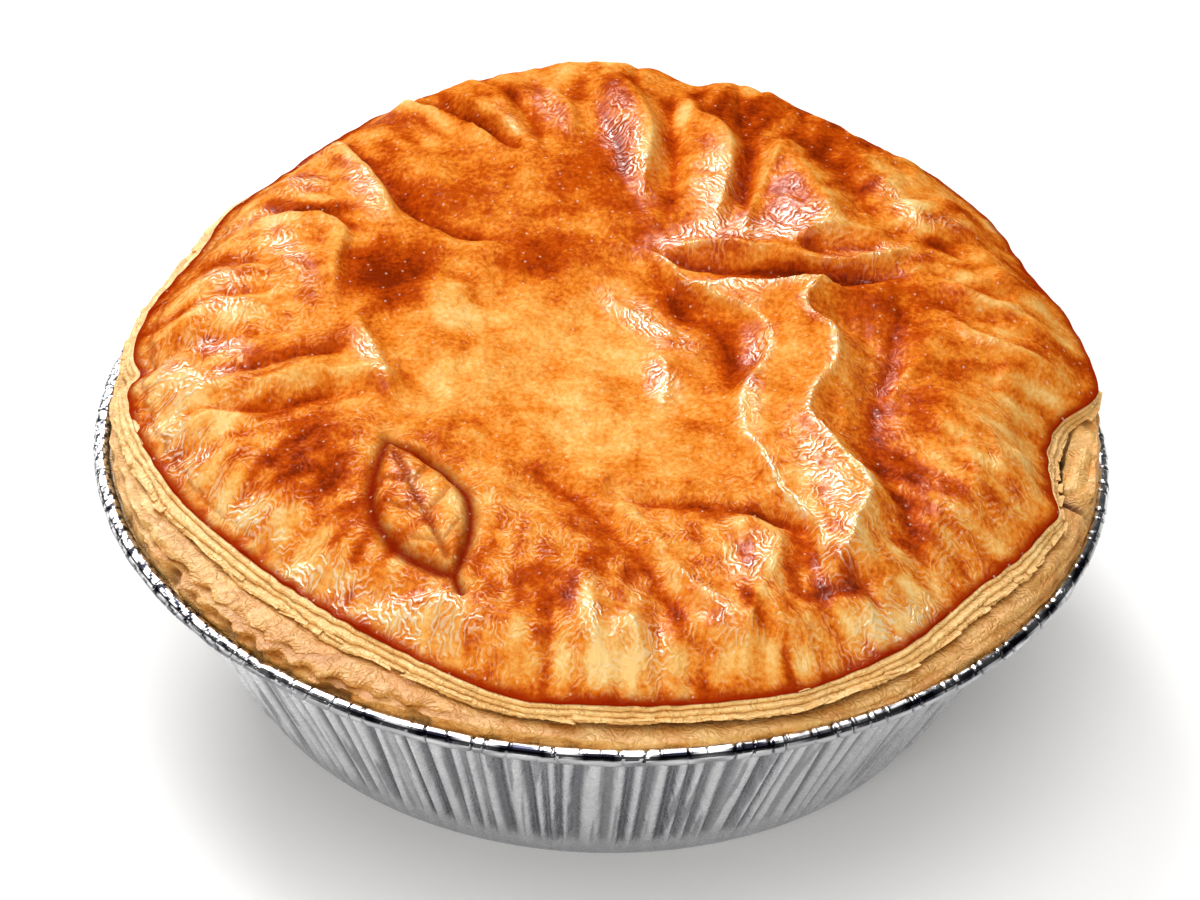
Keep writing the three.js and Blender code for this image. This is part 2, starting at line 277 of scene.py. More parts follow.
def polar(radius: np.ndarray, angle: np.ndarray, height: np.ndarray) -> np.ndarray:
    """Places round the axis.

    Args:
        radius: how far out, in mm.
        angle: where round, in radians.
        height: how high, in mm.

    Returns:
        Places in mm, one row each.
    """
    angle = np.asarray(angle, float)
    out, up = np.broadcast_to(radius, angle.shape), np.broadcast_to(height, angle.shape)
    return np.stack((out * np.cos(angle), out * np.sin(angle), up), -1)


def hand_over(
    piece: bpy.types.Object, material: bpy.types.Material, slot: Slot, *nodes: Node
) -> bpy.types.Object:
    """Dresses a finished piece and enters it in the frame.

    Args:
        piece: the finished object.
        material: its finish.
        slot: the record's slot for that finish; not used.
        nodes: the solids it stands for.

    Returns:
        The same piece.
    """
    if not piece.data.materials:
        piece.data.materials.append(material)
    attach(piece, "root")
    if nodes:
        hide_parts(*(node.value for node in nodes))
    LOG.info("%s: %d faces", piece.name, len(piece.data.polygons))
    return piece


class NodeDesk:
    """Adds and joins nodes in one tree."""

    def __init__(self, tree: bpy.types.NodeTree) -> None:
        """Keeps the tree to work in."""
        self.tree = tree

    def add(self, kind: str, inputs: dict | None = None, **settings: object) -> bpy.types.Node:
        """Adds a node.

        Args:
            kind: the node's type name.
            inputs: socket name or number to a value, or to the socket that feeds it.
            settings: properties of the node.

        Returns:
            The node.
        """
        node = self.tree.nodes.new(kind)
        for key, value in settings.items():
            setattr(node, key, value)
        for key, value in (inputs or {}).items():
            if isinstance(value, bpy.types.NodeSocket):
                self.tree.links.new(value, node.inputs[key])
            else:
                node.inputs[key].default_value = value
        return node

    def math(self, operation: str, *values: object, clamp: bool = False) -> bpy.types.NodeSocket:
        """Adds a Math node and gives its result."""
        node = self.add("ShaderNodeMath", dict(enumerate(values)), operation=operation, use_clamp=clamp)
        return node.outputs[0]

    def blend(self, share: object, first: object, second: object) -> bpy.types.NodeSocket:
        """Adds a colour mix.

        Args:
            share: how much of the second colour.
            first: the colour at 0.
            second: the colour at 1.

        Returns:
            The mixed colour.
        """
        inputs = {0: share, 6: first, 7: second}
        return self.add("ShaderNodeMix", inputs, data_type="RGBA").outputs[2]

    def ramp(self, share: bpy.types.NodeSocket, stops: list[tuple[float, tuple]]) -> bpy.types.NodeSocket:
        """Adds a colour ramp.

        Args:
            share: what runs along it.
            stops: places and linear colours, in order.

        Returns:
            The colour.
        """
        node = self.add("ShaderNodeValToRGB", {0: share})
        marks = node.color_ramp.elements
        while len(marks) < len(stops):
            marks.new(0.5)
        for mark, (place, colour) in zip(marks, stops):
            mark.position, mark.color = place, colour
        return node.outputs[0]

    def spread(self, value: bpy.types.NodeSocket, low: float, high: float, to: Pair) -> bpy.types.NodeSocket:
        """Maps a range to another, held at its ends.

        Args:
            value: what is mapped.
            low: start of its range.
            high: end of its range.
            to: the new range.

        Returns:
            The mapped value.
        """
        inputs = {0: value, 1: low, 2: high, 3: to[0], 4: to[1]}
        return self.add("ShaderNodeMapRange", inputs).outputs[0]


class Effects:
    """Surface effects that more than one finish uses, each a node group built once."""

    WARP_MM = (1.2, 1.2, 0.0)

    def __init__(self) -> None:
        """Builds the groups."""
        self.mottle = self.make_mottle()
        self.crackle = self.make_crackle()

    @staticmethod
    def group(name: str, inputs: dict[str, float], outputs: list[str]) -> tuple[NodeDesk, dict, dict]:
        """Starts a group that reads places in mm.

        Args:
            name: the group's name.
            inputs: value inputs and their usual sizes.
            outputs: value outputs.

        Returns:
            A desk in the group, its input sockets, and the output node's sockets.
        """
        tree = bpy.data.node_groups.new(name, "ShaderNodeTree")
        face = tree.interface
        face.new_socket("Vector", in_out="INPUT", socket_type="NodeSocketVector")
        for key, value in inputs.items():
            face.new_socket(key, in_out="INPUT", socket_type="NodeSocketFloat").default_value = value
        for key in outputs:
            face.new_socket(key, in_out="OUTPUT", socket_type="NodeSocketFloat")
        desk = NodeDesk(tree)
        entry, way_out = desk.add("NodeGroupInput"), desk.add("NodeGroupOutput")
        return desk, entry.outputs, way_out.inputs

    def make_mottle(self) -> bpy.types.NodeTree:
        """Soft blotches and small freckles of baking.

        Returns:
            The group.
        """
        sizes = {"Blotch mm": 7.0, "Freckle mm": 1.1}
        desk, given, out = self.group("baked mottle", sizes, ["Blotch", "Freckle"])
        for name, detail in (("Blotch", 3.0), ("Freckle", 2.0)):
            pace = desk.math("DIVIDE", 1.0, given[f"{name} mm"])
            inputs = {"Vector": given["Vector"], "Scale": pace, "Detail": detail, "Roughness": 0.6}
            noise = desk.add("ShaderNodeTexNoise", inputs)
            desk.tree.links.new(desk.spread(noise.outputs[0], 0.3, 0.7, (-1, 1)), out[name])
        return desk.tree

    def make_crackle(self) -> bpy.types.NodeTree:
        """Short strokes side by side in small fields, each field with its own heading.

        Returns:
            The group, which gives the strokes as heights and as a mask.
        """
        sizes = {"Field mm": 1.3, "Stroke mm": 0.4}
        desk, given, out = self.group("fine strokes", sizes, ["Height", "Strokes"])
        inputs = {"Vector": given["Vector"], "Scale": 0.9, "Detail": 1.0}
        warp = desk.add("ShaderNodeTexNoise", inputs, noise_dimensions="2D")
        inputs = {0: warp.outputs[1], 1: self.WARP_MM, 2: given["Vector"]}
        pushed = desk.add("ShaderNodeVectorMath", inputs, operation="MULTIPLY_ADD").outputs[0]
        pace = desk.math("DIVIDE", 1.0, given["Field mm"])
        fields = desk.add("ShaderNodeTexVoronoi", {"Vector": pushed, "Scale": pace}, voronoi_dimensions="2D")
        drawn = desk.add("ShaderNodeSeparateXYZ", {0: fields.outputs["Color"]}).outputs
        heading = desk.math("MULTIPLY", drawn[0], TURN)
        place = desk.add("ShaderNodeSeparateXYZ", {0: pushed}).outputs
        across = desk.math("MULTIPLY", place[0], desk.math("COSINE", heading))
        across = desk.math("MULTIPLY_ADD", place[1], desk.math("SINE", heading), across)
        turns = desk.math("ADD", desk.math("DIVIDE", across, given["Stroke mm"]), drawn[1])
        wave = desk.math("SINE", desk.math("MULTIPLY", turns, TURN))
        amount = desk.spread(drawn[2], 0.1, 0.6, (0.15, 1.0))
        crests = desk.spread(wave, 0.05, 0.7, (0, 1))
        desk.tree.links.new(desk.math("MULTIPLY", crests, amount), out["Strokes"])
        desk.tree.links.new(desk.math("MULTIPLY", wave, amount), out["Height"])
        return desk.tree


class Finish:
    """A material in the making: its nodes, its places in mm and its surface shader."""

    def __init__(self, name: str) -> None:
        """Starts an empty material.

        Args:
            name: the finish's name.
        """
        self.material = bpy.data.materials.new(name)
        self.material.use_nodes = True
        tree = self.material.node_tree
        tree.nodes.clear()
        self.desk = NodeDesk(tree)
        self.shader = self.desk.add("ShaderNodeBsdfPrincipled")
        surface = self.desk.add("ShaderNodeOutputMaterial")
        tree.links.new(self.shader.outputs[0], surface.inputs[0])
        place = self.desk.add("ShaderNodeTexCoord").outputs["Object"]
        in_mm = self.desk.add("ShaderNodeVectorMath", {0: place, "Scale": 1 / MM}, operation="SCALE")
        self.place = in_mm.outputs[0]

    def shared(self, tree: bpy.types.NodeTree, **sizes: float) -> bpy.types.Node:
        """Places a shared group.

        Args:
            tree: the group.
            sizes: its inputs, with underscores for spaces.

        Returns:
            The group node.
        """
        inputs = {key.replace("_", " "): value for key, value in sizes.items()}
        return self.desk.add("ShaderNodeGroup", {"Vector": self.place, **inputs}, node_tree=tree)

    def mark(self, name: str) -> bpy.types.NodeSocket:
        """A value that the mesh carries."""
        return self.desk.add("ShaderNodeAttribute", attribute_name=name).outputs["Fac"]

    def bump(self, height: bpy.types.NodeSocket, depth_mm: float) -> None:
        """Feeds the shader's normals from heights.

        Args:
            height: the heights, 0 to 1.
            depth_mm: what 1 stands for.
        """
        inputs = {"Height": height, "Distance": depth_mm * MM, "Strength": 1.0}
        tilted = self.desk.add("ShaderNodeBump", inputs).outputs[0]
        self.feed("Normal", tilted)
        self.feed("Coat Normal", tilted)

    def feed(self, socket: str, value: object) -> None:
        """Sets or joins one of the shader's sockets.

        Args:
            socket: the socket's name.
            value: its value, or the socket that feeds it.
        """
        if isinstance(value, bpy.types.NodeSocket):
            self.desk.tree.links.new(value, self.shader.inputs[socket])
        else:
            self.shader.inputs[socket].default_value = value


@dataclass(frozen=True)
class GlazedFinish:
    """Egg-washed puff pastry, baked from cream gold to deep brown, with a painted highlight of cream flecks
    on its glossy strokes.
    """

    stops: tuple[tuple[float, Screen], ...] = (
        (0.00, (252, 206, 128)),
        (0.22, (243, 173, 83)),
        (0.45, (232, 130, 34)),
        (0.66, (196, 80, 10)),
        (0.84, (168, 58, 6)),
        (1.00, (130, 38, 3)),
    )
    edge: Screen = (150, 34, 2)
    # The cream of the painted highlight flecks, also used for the pale bubbles
    highlight_and_bubble_cream: Screen = (255, 238, 208)
    groove: Screen = (136, 30, 4)
    blotch_mm: float = 4.5
    blotch_share: float = 0.15
    freckle_mm: float = 0.6
    freckle_share: float = 0.13
    field_mm: float = 1.8
    stroke_mm: float = 0.66
    stroke_share: float = -0.11
    relief_mm: float = 0.05
    roughness: Pair = (0.42, 0.6)
    coat: Pair = (0.25, 1.5)
    coat_roughness: float = 0.17
    coat_ior: float = 2.2
    painted_highlight_shares: Pair = (0.36, 1.6)
    lively: Pair = (0.22, 5.0)
    bubble_mm: float = 2.0
    bubble_span: Pair = (0.09, 0.04)
    bubble_chance: Pair = (0.3, 0.9)
    bubble_share: float = 0.4

    def material(self, effects: Effects) -> bpy.types.Material:
        """Builds the material.

        Args:
            effects: the shared groups.

        Returns:
            The material.
        """
        look = Finish("glazed pastry")
        desk = look.desk
        gloss, film = look.mark("gloss"), look.mark("film")
        spots = look.shared(effects.mottle, Blotch_mm=self.blotch_mm, Freckle_mm=self.freckle_mm)
        net = look.shared(effects.crackle, Field_mm=self.field_mm, Stroke_mm=self.stroke_mm)
        lively = desk.math("MULTIPLY_ADD", film, self.lively[1], gloss)
        lively = desk.math("ADD", lively, self.lively[0], clamp=True)
        strokes = desk.math("MULTIPLY", net.outputs["Strokes"], lively)
        uneven = desk.math("MULTIPLY", spots.outputs["Blotch"], self.blotch_share)
        uneven = desk.math("MULTIPLY_ADD", spots.outputs["Freckle"], self.freckle_share, uneven)
        uneven = desk.math("MULTIPLY_ADD", strokes, self.stroke_share, uneven)
        bake = desk.math("ADD", look.mark("bake"), uneven, clamp=True)
        colour = desk.ramp(bake, [(place, linear(*rgb)) for place, rgb in self.stops])
        colour = desk.blend(look.mark("edge"), colour, linear(*self.edge))
        colour = desk.blend(look.mark("groove"), colour, linear(*self.groove))
        # Cream flecks on the strokes where the glaze is thick: painted highlight
        painted_highlights = desk.math("MULTIPLY", gloss, self.painted_highlight_shares[0])
        painted_highlights = desk.math("MULTIPLY_ADD", film, self.painted_highlight_shares[1], painted_highlights)
        painted_highlights = desk.math("MULTIPLY", strokes, painted_highlights, clamp=True)
        colour = desk.blend(painted_highlights, colour, linear(*self.highlight_and_bubble_cream))
        look.feed("Base Color", desk.blend(self.bubbles(look), colour, linear(*self.highlight_and_bubble_cream)))
        look.feed("Roughness", desk.spread(spots.outputs["Freckle"], -1, 1, self.roughness))
        patchy = desk.math("MULTIPLY", desk.spread(strokes, 0, 1, self.coat), gloss)
        look.feed("Coat Weight", desk.math("MULTIPLY_ADD", strokes, film, patchy, clamp=True))
        look.feed("Coat Roughness", self.coat_roughness)
        look.feed("Coat IOR", self.coat_ior)
        look.feed("Specular IOR Level", 0.0)
        look.bump(desk.math("MULTIPLY", net.outputs["Height"], lively), self.relief_mm)
        return look.material

    def bubbles(self, look: Finish) -> bpy.types.NodeSocket:
        """Tiny pale bubbles in the glaze.

        Args:
            look: the material in the making.

        Returns:
            How much of a bubble each place shows.
        """
        desk, inputs = look.desk, {"Vector": look.place, "Scale": 1 / self.bubble_mm}
        cells = desk.add("ShaderNodeTexVoronoi", inputs, voronoi_dimensions="2D")
        drawn = desk.add("ShaderNodeSeparateXYZ", {0: cells.outputs["Color"]}).outputs[0]
        disc = desk.spread(cells.outputs["Distance"], *self.bubble_span, (0, 1))
        return desk.math("MULTIPLY", disc, desk.spread(drawn, *self.bubble_chance, (0, self.bubble_share)))


@dataclass(frozen=True)
class CrustFinish:
    """Pale dry pastry, toasted a little on its brinks and darker in its cracks; the crack colour also
    carries painted shade in grooves, gaps and recesses.
    """

    pale: Screen = (250, 209, 133)
    warm: Screen = (237, 181, 97)
    toast: Screen = (207, 137, 54)
    crack: Screen = (96, 46, 12)
    freckle_share: float = 0.12
    stroke_share: float = 0.32
    roughness: Pair = (0.5, 0.7)
    specular: float = 0.3
    relief_mm: float = 0.045

    def material(self, effects: Effects) -> bpy.types.Material:
        """Builds the material.

        Args:
            effects: the shared groups.

        Returns:
            The material.
        """
        look = Finish("pale crust")
        desk = look.desk
        spots = look.shared(effects.mottle, Blotch_mm=4.0, Freckle_mm=0.7)
        warmth = desk.spread(spots.outputs["Blotch"], -1, 1, (0, 1))
        colour = desk.blend(warmth, linear(*self.pale), linear(*self.warm))
        # The strokes lie on x and on y + z, so that they don't stretch on upright sides
        x, y, z = desk.add("ShaderNodeSeparateXYZ", {0: look.place}).outputs
        look.place = desk.add("ShaderNodeCombineXYZ", {0: x, 1: desk.math("ADD", y, z)}).outputs[0]
        net = look.shared(effects.crackle, Field_mm=1.2, Stroke_mm=0.6)
        uneven = desk.math("MULTIPLY", spots.outputs["Freckle"], self.freckle_share)
        uneven = desk.math("MULTIPLY_ADD", net.outputs["Strokes"], self.stroke_share, uneven)
        toast = desk.math("ADD", look.mark("toast"), uneven, clamp=True)
        colour = desk.blend(toast, colour, linear(*self.toast))
        # The crack mark blends to the dark crack colour: the crack itself, and painted shade in grooves,
        # gaps and under the lid
        look.feed("Base Color", desk.blend(look.mark("crack"), colour, linear(*self.crack)))
        look.feed("Roughness", desk.spread(spots.outputs["Freckle"], -1, 1, self.roughness))
        look.feed("Specular IOR Level", self.specular)
        look.bump(desk.math("ADD", spots.outputs["Freckle"], net.outputs["Height"]), self.relief_mm)
        return look.material


@dataclass(frozen=True)
class FoilFinish:
    """Thin pressed aluminium: satin on the wall, brighter where it is rolled, with painted shade and painted
    dark reflections in its creases.
    """

    name: str
    colour: Triple = (0.97, 0.97, 0.99)
    painted_shade: Triple = (0.13, 0.13, 0.15)
    roughness: Pair = (0.22, 0.34)
    crumple_mm: float = 0.03
    dulling: float = 0.84

    def material(self, effects: Effects) -> bpy.types.Material:
        """Builds the material.

        Args:
            effects: the shared groups.

        Returns:
            The material.
        """
        look = Finish(self.name)
        desk = look.desk
        spots = look.shared(effects.mottle, Blotch_mm=4.0, Freckle_mm=0.6)
        dull = tuple(self.dulling * c for c in self.colour)
        share = desk.spread(spots.outputs["Blotch"], -1, 1, (0, 1))
        colour = desk.blend(share, (*self.colour, 1.0), (*dull, 1.0))
        # The mark blends the foil towards a near-black: painted shade and painted dark reflection
        look.feed("Base Color", desk.blend(look.mark("crease"), colour, (*self.painted_shade, 1.0)))
        look.feed("Metallic", 1.0)
        look.feed("Roughness", desk.spread(spots.outputs["Freckle"], -1, 1, self.roughness))
        net = look.shared(effects.crackle, Field_mm=5.0, Stroke_mm=2.2)
        look.bump(net.outputs["Height"], self.crumple_mm)
        return look.material


@dataclass(frozen=True)
class Lobe:
    """A soft place round the pie: its heading and half width in degrees, and how much it gives there."""

    at: float
    spread: float
    amount: float = 1.0

    def share(self, angle: np.ndarray) -> np.ndarray:
        """What each angle gets of it."""
        return self.amount * bell(turn_from(self.at, angle) / self.spread)


@dataclass(frozen=True)
class Fold:
    """A ridge or a valley baked into the lid, with a slope of its own on either hand of its path. In mm."""

    path: tuple[Pair, ...]
    rise: float
    left: float
    right: float
    reach: float = 2.8
    fade: float = 0.25
    roundness: float = 0.55
    keenness: float = 1.9

    def curve(self, steps: int = 6) -> np.ndarray:
        """A smooth run through the path's places.

        Args:
            steps: steps from each place to the next.

        Returns:
            Places in mm, one row each.
        """
        p = np.array(self.path, float)
        p = np.vstack((2 * p[0] - p[1], p, 2 * p[-1] - p[-2]))
        t = np.linspace(0, 1, steps, endpoint=False)[:, None]
        runs = []
        for a, b, c, d in zip(p[:-3], p[1:-2], p[2:-1], p[3:]):
            straight = 2 * b + (c - a) * t
            bend = (2 * a - 5 * b + 4 * c - d) * t ** 2 + (3 * b - a - 3 * c + d) * t ** 3
            runs.append(0.5 * (straight + bend))
        return np.vstack((*runs, p[-2:-1]))

    def nearest(self, x: np.ndarray, y: np.ndarray) -> tuple[np.ndarray, np.ndarray, np.ndarray]:
        """Where each place lies by the path.

        Args:
            x: places across, in mm.
            y: places to the back, in mm.

        Returns:
            Distances in mm, which hand they lie on (above 0 on the left), and how far along, 0 to 1.
        """
        run = self.curve()
        spans = np.hypot(*np.diff(run, axis=0).T)
        done = np.concatenate(([0], np.cumsum(spans))) / spans.sum()
        best, hand, along = np.full(x.shape, np.inf), np.zeros(x.shape), np.zeros(x.shape)
        for k, ((ax, ay), (bx, by)) in enumerate(zip(run[:-1], run[1:])):
            dx, dy = bx - ax, by - ay
            t = np.clip(((x - ax) * dx + (y - ay) * dy) / (dx * dx + dy * dy), 0, 1)
            ox, oy = x - ax - t * dx, y - ay - t * dy
            gap = np.hypot(ox, oy)
            closer = gap < best
            best = np.where(closer, gap, best)
            hand = np.where(closer, dx * oy - dy * ox, hand)
            along = np.where(closer, done[k] + t * (done[k + 1] - done[k]), along)
        return best, hand, along

    def height(self, x: np.ndarray, y: np.ndarray) -> np.ndarray:
        """How far it lifts the lid.

        Args:
            x: places across, in mm.
            y: places to the back, in mm.

        Returns:
            Heights in mm, below 0 for a valley.
        """
        places = np.array(self.path)
        reach = self.reach * max(self.left, self.right)
        low, high = places.min(0) - reach, places.max(0) + reach
        near = (x > low[0]) & (x < high[0]) & (y > low[1]) & (y < high[1])
        found = np.zeros_like(x)
        gap, hand, along = self.nearest(x[near], y[near])
        share = gap / np.where(hand > 0, self.left, self.right)
        ends = smooth(0, self.fade, along) * smooth(0, self.fade, 1 - along)
        keen = np.exp(-self.keenness * np.sqrt(share ** 2 + 0.01))
        found[near] = self.rise * ends * (self.roundness * bell(share) + (1 - self.roundness) * keen)
        return found


@dataclass(frozen=True)
class Patch:
    """An oval place on the lid. What it gives there is its amount: browning, paler below 0, or shine."""

    x: float
    y: float
    reach: float
    amount: float
    long: float = 1.0
    turn: float = 0.0
    hard: float = 1.3

    def share(self, x: np.ndarray, y: np.ndarray) -> np.ndarray:
        """What each place gets of it.

        Args:
            x: places across, in mm.
            y: places to the back, in mm.

        Returns:
            Shares of the amount.
        """
        heading = math.radians(self.turn)
        dx, dy = x - self.x, y - self.y
        along = (dx * math.cos(heading) + dy * math.sin(heading)) / (self.reach * self.long)
        across = (dy * math.cos(heading) - dx * math.sin(heading)) / self.reach
        return self.amount * np.exp(-(along ** 2 + across ** 2) ** self.hard)


@dataclass
class Leaf:
    """The leaf pressed into the lid: a groove round it, a soft body and veins. Sizes in mm."""

    x: float = -20.5
    y: float = -30.0
    turn: float = 112.0
    length: float = 23.0
    width: float = 11.0
    groove: float = 0.8
    body: float = 0.9
    line: float = 0.95
    pointed: float = 1.8
    vein_depth: float = 0.8
    side_veins: int = 3
    side_vein_from: float = -0.6
    side_vein_step: float = 0.44
    side_vein_slant: float = 0.8
    side_vein_depth: float = 0.55

    def press(self, x: np.ndarray, y: np.ndarray) -> tuple[np.ndarray, np.ndarray]:
        """How the leaf moves the lid.

        Args:
            x: places across, in mm.
            y: places to the back, in mm.

        Returns:
            Heights in mm, and how deep in a groove each place is, 0 to 1.
        """
        heading = math.radians(self.turn)
        dx, dy = x - self.x, y - self.y
        along = (dx * math.cos(heading) + dy * math.sin(heading)) / (self.length / 2)
        across = dy * math.cos(heading) - dx * math.sin(heading)
        side = np.abs(across)
        half = self.width / 2 * np.clip(1 - np.abs(along) ** self.pointed, 0, None)
        inside = np.where(np.abs(along) < 1, smooth(-self.line, 2.0, half - side), 0)
        slope = 2 * half * np.abs(along) / np.maximum(1 - along ** 2, 0.25) / (self.length / 2)
        tip = np.hypot(np.maximum(np.abs(along) - 1, 0) * self.length / 2, side)
        gap = np.where(np.abs(along) < 1, (side - half) / np.sqrt(1 + slope ** 2), tip)
        rim = bell(gap / self.line)
        vein = self.vein_depth * bell(across / (0.55 * self.line)) * smooth(0.95, 0.75, np.abs(along))
        stem = bell(across / (0.8 * self.line)) * smooth(-1.3, -1.22, along) * smooth(-0.9, -1.0, along)
        ribs = np.zeros_like(x)
        for k in range(self.side_veins):
            foot = self.side_vein_from + self.side_vein_step * k
            past = (along - foot) * self.length / 2 - self.side_vein_slant * side
            ribs = np.maximum(ribs, bell(past / (0.5 * self.line)))
        ribs = self.side_vein_depth * ribs * smooth(0, 1.0, half - side - 0.6) * smooth(0, 0.4, side)
        sunk = np.clip(np.maximum.reduce((rim, vein, stem, ribs)), 0, 1)
        return self.body * inside - self.groove * sunk, sunk


@dataclass
class Terrace:
    """The raised band on the lid's right, from a winding left brink up to a sharp right crest. Sizes in mm.

    Its brinks are pairs of y and x, from back to front.
    """

    rise: float = 2.5
    left: tuple[Pair, ...] = (
        (14.5, 5.3), (12.5, 6.2), (9, 8.7), (6.5, 12), (5, 15), (3, 17.5), (0, 18.5), (-3, 18.5),
        (-6, 17.5), (-9, 16), (-12, 15.5), (-16, 16), (-20, 18), (-25, 20.5), (-30, 24.5), (-38.5, 25))
    right: tuple[Pair, ...] = (
        (14.5, 25.6), (10, 25.5), (7.5, 24.5), (5, 23.3), (3.5, 23.4), (1.5, 25), (0, 26.5), (-3, 27),
        (-6, 26.8), (-9, 25), (-12, 24), (-14.5, 24), (-17, 26), (-20, 28), (-22, 30), (-24.5, 31.5),
        (-27, 31), (-30, 29.8), (-34, 29), (-37, 27), (-38.5, 25.5))
    back: float = 8.4
    front: float = -38.5
    fall: float = 5.5
    brink_share: float = 0.42
    crest_width: float = 0.5
    crest_rise: float = 0.22

    def shape(self, x: np.ndarray, y: np.ndarray) -> tuple[np.ndarray, np.ndarray]:
        """The band's lift, and the thin crests along its brinks.

        Args:
            x: places across, in mm.
            y: places to the back, in mm.

        Returns:
            Heights in mm, and how near a crest each place is, 0 to 1.
        """
        low, high = through(self.left[::-1], y), through(self.right[::-1], y)
        left, right = x - low, high - x
        share = np.clip(left / np.maximum(high - low, 1.0), 0, 1)
        climb = self.brink_share * smooth(-2.0, 0.6, left) + (1 - self.brink_share) * share ** 1.5
        drop = np.where(right < 0, (1 - np.clip(-right / self.fall, 0, 1)) ** 2, 1.0)
        left_crest = bell((left - 0.4) / self.crest_width) * (right > 0)
        crest = np.maximum(bell((right - 0.3) / self.crest_width), left_crest)
        brow = self.back + 5.2 * smooth(10.5, 5.0, x) + 0.35 * np.sin(0.55 * x)
        ends = smooth(1.0, -0.3, y - brow) * smooth(self.front, self.front + 5, y)
        inside = (left > -1) & (right > -1)
        crest = np.maximum(crest * ends, bell((y - brow + 0.5) / self.crest_width) * inside)
        return (self.rise * climb * drop + self.crest_rise * crest) * ends, crest


